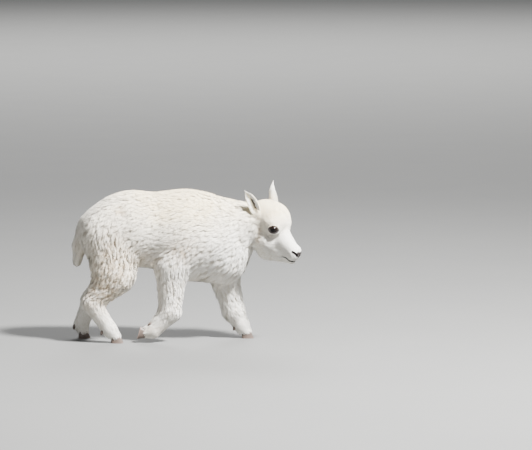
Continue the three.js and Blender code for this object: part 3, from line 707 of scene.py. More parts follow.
def coat_colour(nodes, links):
    """The markings' colour at the tips, and the sockets of the marks' third number and of the tan."""
    warm, tan, third = marks_on(nodes, links)
    cloud = grain(nodes, links, 22, 3)
    clumps = grain(nodes, links, 75, 3)
    warm = worked(nodes, links, "MULTIPLY", warm, worked(nodes, links, "ADD", cloud, 0.4))
    flecks = worked(nodes, links, "MULTIPLY", worked(nodes, links, "SUBTRACT", clumps, 0.36), 3.2)
    tan = worked(nodes, links, "MULTIPLY", tan, worked(nodes, links, "ADD", flecks, 0.25))
    colour = blended(nodes, links, warm, WHITE_WOOL, CREAM_WOOL)
    return blended(nodes, links, worked(nodes, links, "MULTIPLY", tan, 0.7), colour, TAN_WOOL), third, tan


skin_look, nodes, links, shader = fresh_material("kid_skin")
colour, bareness_and_shade, _ = coat_colour(nodes, links)
furred = worked(nodes, links, "SUBTRACT", 1.0, bareness_and_shade)
links.new(worked(nodes, links, "MULTIPLY", furred, 0.25), shader.inputs["Sheen Weight"])
# Bare skin takes its dark colour, and so does the painted shade in the eye's hollow and along the ears'
# slits.
links.new(blended(nodes, links, bareness_and_shade, colour, BARE_SKIN), shader.inputs["Base Color"])
shader.inputs["Roughness"].default_value = 0.62
shader.inputs["Specular IOR Level"].default_value = 0.3
shader.inputs["Sheen Roughness"].default_value = 0.5
nap = nodes.new("ShaderNodeAttribute")
nap.attribute_name = "nap"
raise_by(nodes, links, shader, grain(nodes, links, 900, 2, nap.outputs["Vector"]), 0.0006, 0.9)
skin.data.materials.append(skin_look)

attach(skin, "root")
LEG_PARTS = {
    "foreleg": ("forearm", "cannon", "pastern"),
    "hindleg": ("thigh", "shank", "cannon", "pastern"),
}
legs_flesh = [
    f"{leg}_{side}_{part}"
    for leg, parts in LEG_PARTS.items()
    for side in ("right", "left")
    for part in parts
]
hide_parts("torso", "neck", "head", "tail", "ear_right", "ear_left", *legs_flesh)


# The eyes: wet dark balls in the sockets, with a brown iris, a wide level pupil and a bulging clear
# front. Each is one ball that the lids lie on, turned to look outwards from the side of the face.
IRIS_RADIUS = 8.8
CORNEA_BULGE = 1.0
PUPIL_HALF_WIDTH, PUPIL_HALF_HEIGHT = 5.2, 2.6
BALL_ROUND, BALL_RINGS = 72, 56  # points round a ball, and rows of them from front to back

eye_look, nodes, links, shader = fresh_material("kid_eye")
iris, pupil, _ = marks_on(nodes, links)
streaks = worked(nodes, links, "MULTIPLY", grain(nodes, links, 420, 3), 0.9)
brown = blended(nodes, links, streaks, (0.003, 0.0025, 0.0025, 1), (0.011, 0.0055, 0.004, 1))
ball = blended(nodes, links, iris, (0.006, 0.0045, 0.004, 1), brown)
links.new(blended(nodes, links, pupil, ball, (0.0015, 0.0015, 0.002, 1)), shader.inputs["Base Color"])
shader.inputs["Roughness"].default_value = 0.12
shader.inputs["Specular IOR Level"].default_value = 0.06
shader.inputs["Coat Weight"].default_value = 0.2
shader.inputs["Coat Roughness"].default_value = 0.02

for name, side in (("right", -1), ("left", 1)):
    turn, rise = np.meshgrid(
        np.linspace(0, 2 * math.pi, BALL_ROUND, endpoint=False), np.linspace(0, math.pi, BALL_RINGS))
    across = np.sin(rise) * EYE_RADIUS
    over_iris = 1 - smooth_step(across, IRIS_RADIUS * 0.3, IRIS_RADIUS * 1.1)
    out = EYE_RADIUS * np.cos(rise) + CORNEA_BULGE * over_iris * (np.cos(rise) > 0)
    local = np.stack((across * np.cos(turn), across * np.sin(turn), out), -1).reshape(-1, 3)
    local = np.concatenate((local[:1], local[BALL_ROUND:-BALL_ROUND], local[-1:]))
    ring = np.arange(1, len(local) - 1).reshape(-1, BALL_ROUND)
    beside = np.roll(ring, -1, 1)
    quads = np.stack((ring[:-1], ring[1:], beside[1:], beside[:-1]), -1).reshape(-1, 4)
    top = np.stack((np.zeros(BALL_ROUND, int), ring[0], beside[0]), 1)
    bottom = np.stack((np.full(BALL_ROUND, len(local) - 1), beside[-1], ring[-1]), 1)
    faces = np.concatenate((in_threes(quads), top, bottom))
    eye = solid_piece(
        f"eye_{name}_ball",
        from_head(local @ np.stack(eye_axes(side)) + mirrored(EYE_AT, side)),
        faces if side < 0 else faces[:, ::-1],
    )
    front = local[:, 2] > 0
    iris = (1 - smooth_step(np.hypot(local[:, 0], local[:, 1]), IRIS_RADIUS - 1.2, IRIS_RADIUS)) * front
    slot = ((local[:, 0] / PUPIL_HALF_WIDTH) ** 4 + (local[:, 1] / PUPIL_HALF_HEIGHT) ** 4) ** 0.25
    pupil = (1 - smooth_step(slot, 0.85, 1.1)) * front
    write_values(eye, "marks", np.stack((iris, pupil, np.zeros(len(local))), 1))
    eye.data.materials.append(eye_look)
    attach(eye, "root")
    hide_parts(f"eye_{name}")


# The hooves: two claws of dark horn to a foot, set side by side with a narrow cleft, grown in fine rings
# from the coronet down to a flat sole, and two small buds of the same horn behind each fetlock.
SOLE_LENGTH = 33
CLAW_WIDTH = 12.6
CLEFT = 1.6
HORN_ROUND = 36  # points round a claw
BUD_ROUND, BUD_RINGS = 20, 12
DEWCLAWS = {
    "foreleg_right": ((-27, -46, 50), 63), "foreleg_left": ((192, 43, 27), 20),
    "hindleg_right": ((-153, -50, 28), 20), "hindleg_left": ((-231, 46, 30), 11),
}
DEWCLAW_SPREAD = 8
DEWCLAW_SIZE = (4.2, 4.2, 7.5)


def closed_rings(rings):
    """Points and triangles of rings of points joined in turn, closed by a fan at each end."""
    rings = np.array(rings)
    count, around = rings.shape[:2]
    grid = np.arange(count * around).reshape(count, around)
    beside = np.roll(grid, -1, 1)
    quads = np.stack((grid[:-1], beside[:-1], beside[1:], grid[1:]), -1).reshape(-1, 4)
    first, last = count * around, count * around + 1
    bottom = np.stack((beside[0], grid[0], np.full(around, first)), 1)
    top = np.stack((grid[-1], beside[-1], np.full(around, last)), 1)
    points = np.concatenate((rings.reshape(-1, 3), rings[0].mean(0)[None], rings[-1].mean(0)[None]))
    return points, np.concatenate((in_threes(quads), bottom, top))


def claw_rings(outer):
    """One claw from its sole up, in the foot's frame. outer is the side that bulges, -1 or 1."""
    angle = np.linspace(0, 2 * math.pi, HORN_ROUND, endpoint=False)
    rings = []
    wall = [(height, 1) for height in np.linspace(2.6, 18, 15)]
    for height, size in [(0, 0.72), (0, 0.93), (0.5, 0.985), (1.6, 1), *wall, (20, 0.9)]:
        toe = SOLE_LENGTH / 2 - 0.3 - 0.46 * height
        heel = -SOLE_LENGTH / 2 + 0.8 + 0.10 * height
        half = CLAW_WIDTH / 2 * (1 - 0.012 * height)
        ring_of_growth = 0.12 * math.sin(height * 2.9)
        x = np.sign(np.cos(angle)) * np.abs(np.cos(angle)) ** 0.85
        y = np.sign(np.sin(angle)) * np.abs(np.sin(angle)) ** 0.8
        pointed = 1 - 0.42 * np.clip(x, 0, 1) ** 2.2
        bulge = np.where(y * outer > 0, 1.0, 0.86)
        x = (toe + heel) / 2 + x * ((toe - heel) / 2 * size + ring_of_growth)
        y = outer * (CLAW_WIDTH + CLEFT) / 2 + y * pointed * bulge * (half * size + ring_of_growth)
        y = np.where(outer * y < CLEFT / 2, outer * CLEFT / 2, y)
        rings.append(np.stack((x, y, np.full(HORN_ROUND, float(height))), 1))
    return rings


horn_look, nodes, links, shader = fresh_material("kid_horn")
sole = marks_on(nodes, links)[0]
streaks = grain(nodes, links, 700, 3)
dark = blended(nodes, links, streaks, (0.055, 0.041, 0.034, 1), (0.15, 0.11, 0.088, 1))
worn = blended(nodes, links, worked(nodes, links, "MULTIPLY", sole, 0.9), dark, (0.33, 0.215, 0.17, 1))
links.new(worn, shader.inputs["Base Color"])
shader.inputs["Roughness"].default_value = 0.42
raise_by(nodes, links, shader, grain(nodes, links, 1500, 3), 0.0003, 0.6)

for leg, (stand, axes) in FEET.items():
    outer_side = 1 if leg.endswith("left") else -1
    for place, outer in (("outer", outer_side), ("inner", -outer_side)):
        local, faces = closed_rings(claw_rings(outer))
        claw = solid_piece(f"{leg}_hoof_{place}", local @ axes.T + stand, faces)
        write_values(claw, "marks", np.outer(1 - smooth_step(local[:, 2], 0, 2.2), (1, 0, 0)))
        claw.data.materials.append(horn_look)
        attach(claw, "root")
        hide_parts(f"{leg}_claw_{place}")
        middle, tilt = DEWCLAWS[leg]
        middle = np.add(middle, (0, outer * DEWCLAW_SPREAD, 0))
        angle = np.arange(BUD_ROUND) / BUD_ROUND * 2 * math.pi
        rings = []
        for rise in np.linspace(0.06, 0.97, BUD_RINGS) * math.pi:
            narrow = math.sin(rise) * (1 - 0.22 * math.cos(rise))
            ring = (np.cos(angle) * narrow, np.sin(angle) * narrow, np.full(BUD_ROUND, -math.cos(rise)))
            rings.append(np.stack(ring, 1) * DEWCLAW_SIZE)
        local, faces = closed_rings(rings)
        bud = solid_piece(f"{leg}_bud_{place}", local @ turned(tilt, "Y").T + middle, faces)
        write_values(bud, "marks", np.zeros((len(local), 3)))
        bud.data.materials.append(horn_look)
        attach(bud, "root")
        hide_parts(f"{leg}_dewclaw_{place}")


# The coat: a kid's soft first wool, white to cream, in small wavy locks that lie back and down over the
# body, longest on the chest and short on the face and feet. Each tuft is a thin tapered wisp with three
# sides. Wisps of one lock root apart, and draw together towards its tip.

# For each kind of coat: a wisp's length and width, how far apart the locks stand, how far they wave from
# side to side, how much the wisps of one lock draw together, and how many wisps root in a square millimetre.
LOCKS = {
    "barrel": (18, 1.15, 8, 0.9, 0.4, 0.18), "rump": (18, 1.15, 8, 1.1, 0.45, 0.18),
    "chest": (33, 1.15, 11, 3.2, 0.75, 0.2), "neck": (22, 1.05, 9, 2.0, 0.5, 0.22),
    "tail": (38, 1.2, 8, 1.2, 0.3, 0.36), "shoulder": (20, 1.05, 9, 1.4, 0.5, 0.18),
    "haunch": (20, 1.05, 10, 2.2, 0.75, 0.15), "forearm": (15, 0.95, 8, 1.3, 0.55, 0.22),
    "shank": (16, 1.0, 9, 1.8, 0.7, 0.17), "cannon": (10, 0.8, 5, 0.5, 0.35, 0.28),
    "pastern": (8.5, 0.7, 4, 0.2, 0.2, 0.38), "crown": (6, 0.55, 6, 0.3, 0.15, 0.42),
    "jaw": (9.5, 0.62, 8, 0.9, 0.45, 0.38), "lids": (3, 0.38, 4, 0, 0, 0.7),
    "muzzle": (3.2, 0.4, 4, 0, 0, 0.75), "ear root": (8, 0.62, 6, 0.4, 0.25, 0.45),
}
LOCK_SIZES = np.array([LOCKS[kind] for kind in KINDS], float)
# Which way the coat lies on the trunk. On the legs it follows the bones, and on the head it runs away
# from the nose and parts round the eyes.
LIE = {
    "barrel": (-0.86, 0, -0.5), "rump": (-0.8, 0, -0.6), "chest": (-0.5, 0, -0.87), "neck": (-0.8, 0, -0.6),
    "shoulder": (-0.55, 0, -0.83), "haunch": (-0.3, 0, -0.95), "tail": (-0.1, 0, -1),
}
NOSE_FRONT = (108, 0, -150)
HORN_BUD = (49, 31, -29)  # where the horns will come: the coat lies in a whorl there


def lie_at(points, outward):
    """The way the coat lies at points on the form, along its surface."""
    lie = np.zeros_like(points)
    for mass in BODY:
        weight = pull(off_mass(points, mass))
        way = np.array(LIE.get(mass[6], np.subtract(mass[1], mass[0])), float)
        lie += weight[:, None] * way / np.linalg.norm(way)
    places = to_head(points)
    away = unit(places - NOSE_FRONT)
    for side in (-1, 1):
        from_eye = places - mirrored(EYE_AT, side)
        edge = off_lids(places, side)[0]
        near_lids = 1.1 * np.exp(-np.maximum(edge, 0) / 5)[:, None]
        away += near_lids * from_eye / np.linalg.norm(from_eye, axis=1, keepdims=True)
        from_bud = places - mirrored(HORN_BUD, side)
        swirl = np.cross(from_bud, mirrored(HORN_BUD, side)) * side / 60
        away += 0.3 * np.exp(-((from_bud**2).sum(1)) / 70)[:, None] * swirl
    weight = sum(pull(off_mass(places, mass)) for mass in HEAD)
    lie += weight[:, None] * (away @ HEAD_TURN.T)
    lie -= outward * (lie * outward).sum(1, keepdims=True)
    return unit(lie)


SEED = 20
WAVES = 0.85  # along a wisp
RISES = 2.0  # how soon a wisp comes up out of the coat, to lie along it
# How far along itself a wisp bends.
CURLY_STEPS = np.array((0, 0.28, 0.54, 0.78, 1))
LONG_STEPS = np.array((0, 0.34, 0.7, 1))
SHORT_STEPS = np.array((0, 0.5, 1))
# Wisps are broad down in the coat, where they crowd together, and fine at their tips.
TAPERS = {
    len(CURLY_STEPS): np.array((1.7, 1.7, 1.3, 0.75, 0)),
    len(LONG_STEPS): np.array((1.9, 1.65, 0.85, 0)),
    len(SHORT_STEPS): np.array((1.3, 1.1, 0)),
}
chance = np.random.default_rng(SEED)


def roots_over(faces, number_wanted):
    """Points spread over the skin: so many expected on each face."""
    reached = np.cumsum(number_wanted)
    at = np.arange(0.5, reached[-1]) + chance.uniform(-0.5, 0.5, int(reached[-1] + 0.5))
    picked = np.minimum(np.searchsorted(reached, at), len(faces) - 1)
    a, b, c = (points[faces[picked, i]] for i in range(3))
    u, v = np.sqrt(chance.random(len(picked)))[:, None], chance.random(len(picked))[:, None]
    return a * (1 - u) + b * u * (1 - v) + c * u * v


def grown_from(roots, length, depth, steps, swing, wave, phase):
    """Each root's line to its tip, along the lie and up through the coat, and the outward ways on it."""
    line, ups = [roots], [slope(off_coat, roots)[0]]
    for s_before, s in zip(steps[:-1], steps[1:]):
        at, up = line[-1], ups[-1]
        way = lie_at(at, up)
        side = np.cross(up, way)
        way = way * np.cos(swing)[:, None] + side * np.sin(swing)[:, None]
        turn_before, turn = (2 * math.pi * WAVES * along + phase for along in (s_before, s))
        sway = wave * (np.sin(turn) - np.sin(turn_before))
        at = at + way * (length * (s - s_before))[:, None] + side * sway[:, None]
        up, steep = slope(off_coat, at)
        at = at - up * ((off_coat(at) + depth * (1 - s) ** RISES)[:, None] / steep)
        line.append(at)
        ups.append(up)
    return np.stack(line, 1), np.stack(ups, 1)


def wisps(line, ups, width, taper, roll, softness):
    """Points, triangles and normals of tapered three-sided wisps along lines of points."""
    count, steps = line.shape[:2]
    way = np.gradient(line, axis=1)
    side = unit(np.cross(ups, way))
    up = unit(np.cross(way, side))
    turn_c, turn_s = np.cos(roll)[:, None, None], np.sin(roll)[:, None, None]
    side, up = side * turn_c + up * turn_s, up * turn_c - side * turn_s
    half = (width[:, None] * taper[None, :] / 2)[..., None]
    spread = np.stack((side - up * 0.25, up * 0.45, -side - up * 0.25), 2)
    rings = line[:, :, None] + spread * half[:, :, None]
    points = np.concatenate((rings[:, :-1].reshape(count, -1, 3), line[:, -1:]), 1)
    soft = softness * ups[:, :, None] + (1 - softness) * spread
    normals = np.concatenate((soft[:, :-1].reshape(count, -1, 3), ups[:, -1:]), 1)
    faces = [(0, 2, 1)]
    for ring in range(steps - 2):
        for i in range(3):
            a, b = ring * 3 + i, ring * 3 + (i + 1) % 3
            faces += [(a, b, b + 3), (a, b + 3, a + 3)]
    last, tip = (steps - 2) * 3, (steps - 1) * 3
    faces += [(last + i, last + (i + 1) % 3, tip) for i in range(3)]
    faces = np.array(faces)[None] + (np.arange(count) * (tip + 1))[:, None, None]
    return points.reshape(-1, 3), faces.reshape(-1, 3), unit(normals).reshape(-1, 3)


corners = points[triangles]
face_area = np.linalg.norm(np.cross(corners[:, 1] - corners[:, 0], corners[:, 2] - corners[:, 0]), axis=1) / 2
face_sizes = form(corners.mean(1))[1] @ LOCK_SIZES
open_skin = (bare_and_hollow_shade[triangles].max(1) < 0.5) & (above_coronet(corners.mean(1)) > -0.8)

roots = roots_over(triangles, face_area * face_sizes[:, 5] * open_skin)
shares = form(roots)[1]
sizes = shares @ LOCK_SIZES
depths = shares @ DEPTHS

# Long wool feathers the backs of the forelegs, most on the one set forward.
on_foreleg = shares[:, KINDS.index("forearm")] + 0.7 * shares[:, KINDS.index("cannon")]
behind = np.clip(-slope(off_coat, roots)[0][:, 0] * on_foreleg, 0, 1)
set_forward = (roots[:, 1] > 0) & (roots[:, 0] > 0)
sizes[:, 0] *= 1 + behind * np.where(set_forward, 1.0, 0.25 * (roots[:, 0] > -70))
feathers = behind * set_forward

# Each lock has a line down its middle, which its wisps follow.
lock_roots = roots_over(triangles, face_area / face_sizes[:, 2] ** 2 * open_skin)
lock_shares = form(lock_roots)[1]
lock_sizes = lock_shares @ LOCK_SIZES
lock_lines = {}
# Neighbouring locks swing and wave nearly together.
drift = np.sin(lock_roots @ chance.normal(0, 0.05, (3, 4)) + chance.uniform(0, 2 * math.pi, 4))
lock_swing = 0.15 * drift[:, :2].sum(1) + chance.normal(0, 0.17, len(lock_roots))
lock_phase = 2.2 * drift[:, 2:].sum(1) + chance.normal(0, 0.9, len(lock_roots))
for steps in (CURLY_STEPS, LONG_STEPS, SHORT_STEPS):
    lock_lines[len(steps)] = grown_from(
        lock_roots, lock_sizes[:, 0], lock_shares @ DEPTHS, steps, lock_swing, lock_sizes[:, 3], lock_phase)
tree = KDTree(len(lock_roots))
for i, root in enumerate(lock_roots):
    tree.insert(root, i)
tree.balance()


STRAYS = 0.065  # how far a wisp's tip strays from its lock, for its length
STANDS = 0.07  # how far it stands out, for its depth


def lines_from(roots, sizes, depths, steps):
    """Each wisp's line along its lock's, the outward way at each step, and how far out of its lock it roots.

    Locks hold together better low on the body than along the back, and are highest down their middle.
    """
    lock_of = np.array([tree.find(root)[1] for root in roots])
    lock_line, lock_ups = lock_lines[len(steps)]
    run = chance.uniform(0.72, 1.15, len(roots)) * sizes[:, 0] / lock_sizes[lock_of, 0]
    line = roots[:, None] + (lock_line[lock_of] - lock_line[lock_of][:, :1]) * run[:, None, None]
    holds = sizes[:, 4] * (1.15 - 0.75 * smooth_step(roots[:, 2], 250, 370))
    draw = holds[:, None] * steps[None] ** 1.2
    line += draw[..., None] * (lock_roots[lock_of] - roots)[:, None]
    off_middle = np.linalg.norm(lock_roots[lock_of] - roots, axis=1) / (0.6 * sizes[:, 2])
    beside = holds * np.minimum(off_middle, 1.2) ** 2
    line += steps[None, :, None] * chance.normal(0, STRAYS, (len(roots), 1, 3)) * sizes[:, 0][:, None, None]
    ups = lock_ups[lock_of]
    stands = chance.normal(0, STANDS, len(roots))
    for i, s in enumerate(steps[1:], 1):
        wanted = depths * np.clip((1 - s) ** RISES - stands * s + 0.5 * beside * (1 - s * s), -0.1, 1)
        line[:, i] -= ups[:, i] * (off_coat(line[:, i]) + wanted)[:, None]
    return line, ups, beside


def unwrapped(points, masses):
    """The skin's own unwrap: each mass is a band across the map, its girth along it and its bone up it."""
    gaps = np.stack([off_mass(points, mass) for mass in masses])
    nearest = gaps.argmin(0)
    flat = np.empty((len(points), 2))
    for number, mass in enumerate(masses):
        mine = nearest == number
        start, end = np.array(mass[0], float), np.array(mass[1], float)
        bone = end - start if (end - start).any() else np.array((1.0, 0, 0))
        length = np.linalg.norm(bone)
        bone /= length
        across = np.cross(bone, (0, 1, 0))
        across /= np.linalg.norm(across)
        away = points[mine] - start
        reach = (length if (end - start).any() else 0) + mass[2] + mass[3]
        flat[mine, 0] = np.arctan2(away @ across, away @ np.cross(bone, across)) / (2 * math.pi) + 0.5
        flat[mine, 1] = (number + np.clip((away @ bone + mass[2]) / reach, 0, 1)) / len(masses)
    return flat * 0.99 + 0.005


coat_look, nodes, links, shader = fresh_material("kid_wool")
colour, painted_shade_and_tone, tan = coat_colour(nodes, links)
# Painted shade down in the coat: the colours that wisps are painted towards their roots, on white wool and on
# tan.
PAINTED_SHADE_WOOL = (0.70, 0.65, 0.55, 1)
PAINTED_SHADE_TAN = (0.36, 0.27, 0.18, 1)
deep = blended(nodes, links, tan, PAINTED_SHADE_WOOL, PAINTED_SHADE_TAN)
links.new(blended(nodes, links, painted_shade_and_tone, deep, colour), shader.inputs["Base Color"])
shader.inputs["Roughness"].default_value = 0.85
shader.inputs["Specular IOR Level"].default_value = 0.2
shader.inputs["Sheen Weight"].default_value = 0.15
shader.inputs["Sheen Roughness"].default_value = 0.5

PATCH = 0.003  # how wide a wisp's place is on the unwrap
PAINTED_ROOT_LIGHT = 0.25  # painted shade: how light a wisp is painted at its root, of its tip's colour
PAINTED_LOCK_SHADE, DULL_SCATTER = 0.75, 0.16  # how much darker wisps are painted beside their lock's middle, as painted shade between locks, and how much darker or lighter by chance


def coat_piece(name, line, ups, steps, width, marks, root_flat, beside=0.0, softness=0.75):
    """One piece of coat, from its wisps' lines, with each wisp's patch round its root's place on the unwrap.

    Wool is so fine that a wisp takes the light much as the coat does where it lies, which softness sets.
    """
    count = len(line)
    width = width * chance.uniform(0.75, 1.25, count)
    roll = chance.normal(0, 0.4, count)
    places, faces, normals = wisps(line, ups, width, TAPERS[len(steps)], roll, softness)
    coat = solid_piece(name, places, faces)
    coat.data.normals_split_custom_set_from_vertices(normals.astype(np.float32))
    along = np.append(np.repeat(steps[:-1], 3), 1)
    across = np.append(np.tile((0, 0.5, 1), len(steps) - 1), 0.5)
    # Painted shade: wisps darken towards their roots and beside their lock's middle; by chance some are
    # darker or lighter.
    shade_and_scatter = (PAINTED_LOCK_SHADE * beside + chance.normal(0, DULL_SCATTER, count))[:, None] * (1 - 0.5 * along)
    light = np.clip((PAINTED_ROOT_LIGHT + (1 - PAINTED_ROOT_LIGHT) * along**0.7)[None] - shade_and_scatter, 0, 1)
    write_values(coat, "marks", np.column_stack((np.repeat(marks, len(along), axis=0), light.ravel())))
    flat = root_flat[:, None] + PATCH * (np.stack((across, along), 1) - 0.5)[None]
    unwrap = coat.data.uv_layers.new(name="OFBake")
    unwrap.data.foreach_set("uv", flat.reshape(-1, 2)[faces.ravel()].astype(np.float32).ravel())
    coat.data.materials.append(coat_look)
    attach(coat, "root")


# The pieces of coat, by what they grow on. The short coat of the head and feet takes fewer steps.
kind_of = shares.argmax(1)


def grows_on(*kinds):
    return np.isin(kind_of, [KINDS.index(kind) for kind in kinds])


right_side = roots[:, 1] < 0
in_front = roots[:, 0] > np.where(right_side, -75, 0)  # the lifted foot is carried well back
zones = {
    "coat_face": (grows_on("muzzle", "lids"), HEAD, SHORT_STEPS),
    "coat_crown": (grows_on("crown", "jaw", "ear root"), HEAD, SHORT_STEPS),
}
for name, masses, where, steps in (
    ("foreleg_right", FORELEG_RIGHT, right_side & in_front, LONG_STEPS),
    ("foreleg_left", FORELEG_LEFT, ~right_side & in_front, LONG_STEPS),
    ("hindleg_right", HINDLEG_RIGHT, right_side & ~in_front, CURLY_STEPS),
    ("hindleg_left", HINDLEG_LEFT, ~right_side & ~in_front, CURLY_STEPS),
):
    zones[f"coat_{name}"] = (grows_on("haunch", "forearm", "shank") & where, masses, steps)
    zones[f"coat_{name}_foot"] = (grows_on("cannon", "pastern") & where, masses, SHORT_STEPS)
zones["coat_tail"] = (grows_on("tail"), TAIL, LONG_STEPS)
zones["coat_neck"] = (grows_on("neck"), TRUNK, LONG_STEPS)
zones["coat_chest"] = (grows_on("chest"), TRUNK, CURLY_STEPS)
trunk = grows_on("barrel", "rump", "shoulder")
for name, side_of in (("right", right_side), ("left", ~right_side)):
    for part, rear, front in (("shoulder", 60, FAR), ("flank", -60, 60), ("rump", -FAR, -60)):
        where = side_of & (roots[:, 0] > rear) & (roots[:, 0] <= front)
        zones[f"coat_{part}_{name}"] = (trunk & where, TRUNK, LONG_STEPS)

CLEAR_OF = np.array((2.4, 3.6, 4.2, 3.0))  # the lids, the nostrils, the nose's pad and the mouth
for name, (mine, masses, steps) in zones.items():
    line, ups, beside = lines_from(roots[mine], sizes[mine], depths[mine], steps)
    stands_off = 5 * feathers[mine] * chance.random(mine.sum())
    line += (steps**1.5)[None, :, None] * stands_off[:, None, None] * ups
    if masses is HEAD:  # nothing hangs over the eyes, the nose or the mouth
        ends = np.array([detail_of(to_head(line[:, i])) for i in (1, -1)])
        clear = (ends > CLEAR_OF[:, None]).all((0, 1))
        mine = np.flatnonzero(mine)[clear]
        line, ups, beside = line[clear], ups[clear], beside[clear]
    root_flat = unwrapped(to_head(roots[mine]) if masses is HEAD else roots[mine], masses)
    coat_piece(name, line, ups, steps, sizes[mine, 1], markings(roots[mine]), root_flat, beside)

# Velvet covers the ears' backs, lying towards the tips. Longer pale hairs stand in from the cup's edges,
# and the lashes fringe the upper lids.
EAR_VELVET, EAR_HAIRS, EAR_FRINGE, LASHES = 1600, 950, 480, 38
LASH_LENGTH = 4.5
LASH_WIDTH = 0.16
for name, ear in EARS.items():
    forward, across, up = from_head(ear_axes(ear)) - POLL
    lines, outs, widths = [], [], []
    for count, outer, low_t, reach, length, lift, width, leans in (
        (EAR_VELVET, 1, 0, 1.0, 5, 0.9, 0.5, False), (EAR_HAIRS, -1, 0.3, 0.85, 6, 0.8, 0.42, False),
        (EAR_FRINGE, -1, 0.75, 0.98, 9, 0.4, 0.32, True), (EAR_FRINGE, 1, 0.85, 1.0, 3.5, 0.3, 0.36, False),
    ):
        s = 1.02 * chance.random(count) ** 1.15
        t = chance.uniform(low_t, reach, count) * chance.choice((-1, 1), count)
        root = ear_points(ear, s, t, outer)
        up_it, across_it = (ear_points(ear, *at, outer) - root for at in ((s + 0.01, t), (s, t + 0.01)))
        out = unit(np.cross(up_it, across_it))
        middle = ear_points(ear, s, np.zeros(count), 1)
        out *= np.sign((out * (root - middle - 9 * forward)).sum(1, keepdims=True)) * outer
        if leans:  # over the cup
            way = 0.85 * up + 0.3 * np.sign(t)[:, None] * across + 0.1 * forward
        else:
            way = ear_points(ear, s + 0.03, t, outer) - root + 0.08 * low_t * out
        way = unit(way) + chance.normal(0, 0.08, (count, 3))
        long = (length * chance.uniform(0.7, 1.2, count) * (1 - 0.6 * smooth_step(s, 0.55, 1)))[:, None]
        steps = SHORT_STEPS[None, :, None]
        lines.append(root[:, None] + steps * (way * long)[:, None] + steps**0.7 * (out * lift)[:, None])
        outs.append(np.repeat(out[:, None], len(SHORT_STEPS), 1))
        widths.append(np.full(count, width))
        widths[-1][s > 0.9] *= 0.8
    lines, outs = np.concatenate(lines), np.concatenate(outs)
    height = lines[:, 0] @ up
    height = 0.02 + 0.96 * (height - height.min()) / np.ptp(height)
    coat_piece(
        f"coat_ear_{name}", lines, outs, SHORT_STEPS, np.concatenate(widths), np.zeros((len(lines), 2)),
        np.stack((np.linspace(0.02, 0.98, len(lines)) % 0.96, height), 1), softness=0.3)

    side = ear["side"]
    forward, upward, outward = eye_axes(side)
    x = chance.uniform(-0.88, 0.8, LASHES) * LID_HALF_WIDTH
    bend = lid_radius(UPPER_LID)
    y = np.sqrt(bend**2 - x**2) - bend + UPPER_LID + 0.5
    turn = np.hypot(x, y)
    leans_out = np.sin(turn / EYE_RADIUS)
    on_ball = (x * leans_out / turn)[:, None] * forward + (y * leans_out / turn)[:, None] * upward
    on_ball = on_ball + np.cos(turn / EYE_RADIUS)[:, None] * outward
    root = mirrored(EYE_AT, side) + on_ball * (EYE_RADIUS + 1.1)
    long = LASH_LENGTH * chance.uniform(0.7, 1.2, LASHES)[:, None]
    way = on_ball * 0.75 + 0.35 * upward + 0.35 * (x / LID_HALF_WIDTH)[:, None] * forward
    lash = np.stack([root + way * long * s + upward * long * 0.35 * s * s for s in LONG_STEPS], 1)
    outs = np.repeat(from_head(on_ball)[:, None] - POLL, len(LONG_STEPS), 1)
    flat = np.stack((np.linspace(0.05, 0.95, LASHES), np.full(LASHES, 0.5)), 1)
    coat_piece(
        f"lashes_{name}", from_head(lash), outs, LONG_STEPS, np.full(LASHES, LASH_WIDTH),
        np.tile((0, 2.5), (LASHES, 1)), flat, beside=1.3, softness=0.3)

# The skin's own short hairs follow the same lie, as fine streaks in its finish.
lie = np.concatenate((lie_at(points, out_of_skin), np.zeros((len(skin_points) - len(points), 3))))
streak = skin_points - 0.85 * lie * (skin_points * lie).sum(1, keepdims=True)
write_values(skin, "nap", streak * 0.001)


# The studio: a pale floor, one soft light high on the right, weaker ones on the left and behind, a wide
# one over the floor further back, and a camera far off with a long lens, looking slightly down.
FRAME_WIDE = 532
MM_TO_PIXEL = 2.62
CAMERA_AWAY = 8.0
LOOKS_DOWN = math.radians(6)
LOOKS_AT = Vector((0.2092, 0, 0.3047))
SENSOR = 36.0
FLOOR_HALF = 60

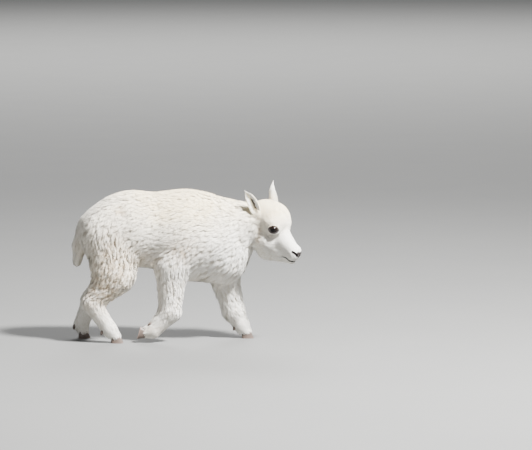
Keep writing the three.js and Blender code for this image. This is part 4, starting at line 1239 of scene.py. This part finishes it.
floor_mesh = bpy.data.meshes.new("floor")
floor_corners = [(x * FLOOR_HALF, y * FLOOR_HALF, 0) for x, y in ((-1, -1), (1, -1), (1, 1), (-1, 1))]
floor_mesh.from_pydata(floor_corners, [], [(0, 1, 2, 3)])
floor = bpy.data.objects.new("floor", floor_mesh)
bpy.context.scene.collection.objects.link(floor)
floor_look, nodes, links, shader = fresh_material("studio_floor")
links.new(
    blended(nodes, links, grain(nodes, links, 3, 4), (0.122, 0.122, 0.118, 1), (0.135, 0.135, 0.129, 1)),
    shader.inputs["Base Color"],
)
shader.inputs["Roughness"].default_value = 0.85
floor.data.materials.append(floor_look)

world = bpy.data.worlds.new("studio")
world.use_nodes = True
world.node_tree.nodes["Background"].inputs["Color"].default_value = (0.78, 0.81, 0.85, 1)
world.node_tree.nodes["Background"].inputs["Strength"].default_value = 0.3
bpy.context.scene.world = world

MIDDLE = (0, 0, 0.22)  # of the kid, which most of the lights are aimed at
for name, place, size, power, aimed_at in (
    ("key", (1.8, -1.5, 3.0), 0.6, 1200, MIDDLE),
    ("fill", (-2.4, -1.6, 1.4), 2.0, 14, MIDDLE),
    ("back", (0.4, 2.6, 2.2), 1.8, 50, MIDDLE),
    ("floor behind", (0, 16, 9), 12.0, 5500, (0, 17, 0)),
):
    light = bpy.data.lights.new(name, "AREA")
    light.shape = "DISK"
    light.size = size
    light.energy = power
    lamp = bpy.data.objects.new(name, light)
    lamp.location = place
    lamp.rotation_euler = (Vector(aimed_at) - Vector(place)).to_track_quat("-Z", "Y").to_euler()
    bpy.context.scene.collection.objects.link(lamp)

camera = bpy.data.objects.new("camera", bpy.data.cameras.new("camera"))
camera.data.sensor_width = SENSOR
camera.data.lens = SENSOR * CAMERA_AWAY / (FRAME_WIDE * MM_TO_PIXEL * 0.001)
camera.data.clip_end = 200
camera.location = LOOKS_AT + Vector((0, -math.cos(LOOKS_DOWN), math.sin(LOOKS_DOWN))) * CAMERA_AWAY
camera.rotation_euler = (LOOKS_AT - camera.location).to_track_quat("-Z", "Y").to_euler()
bpy.context.scene.collection.objects.link(camera)
bpy.context.scene.camera = camera
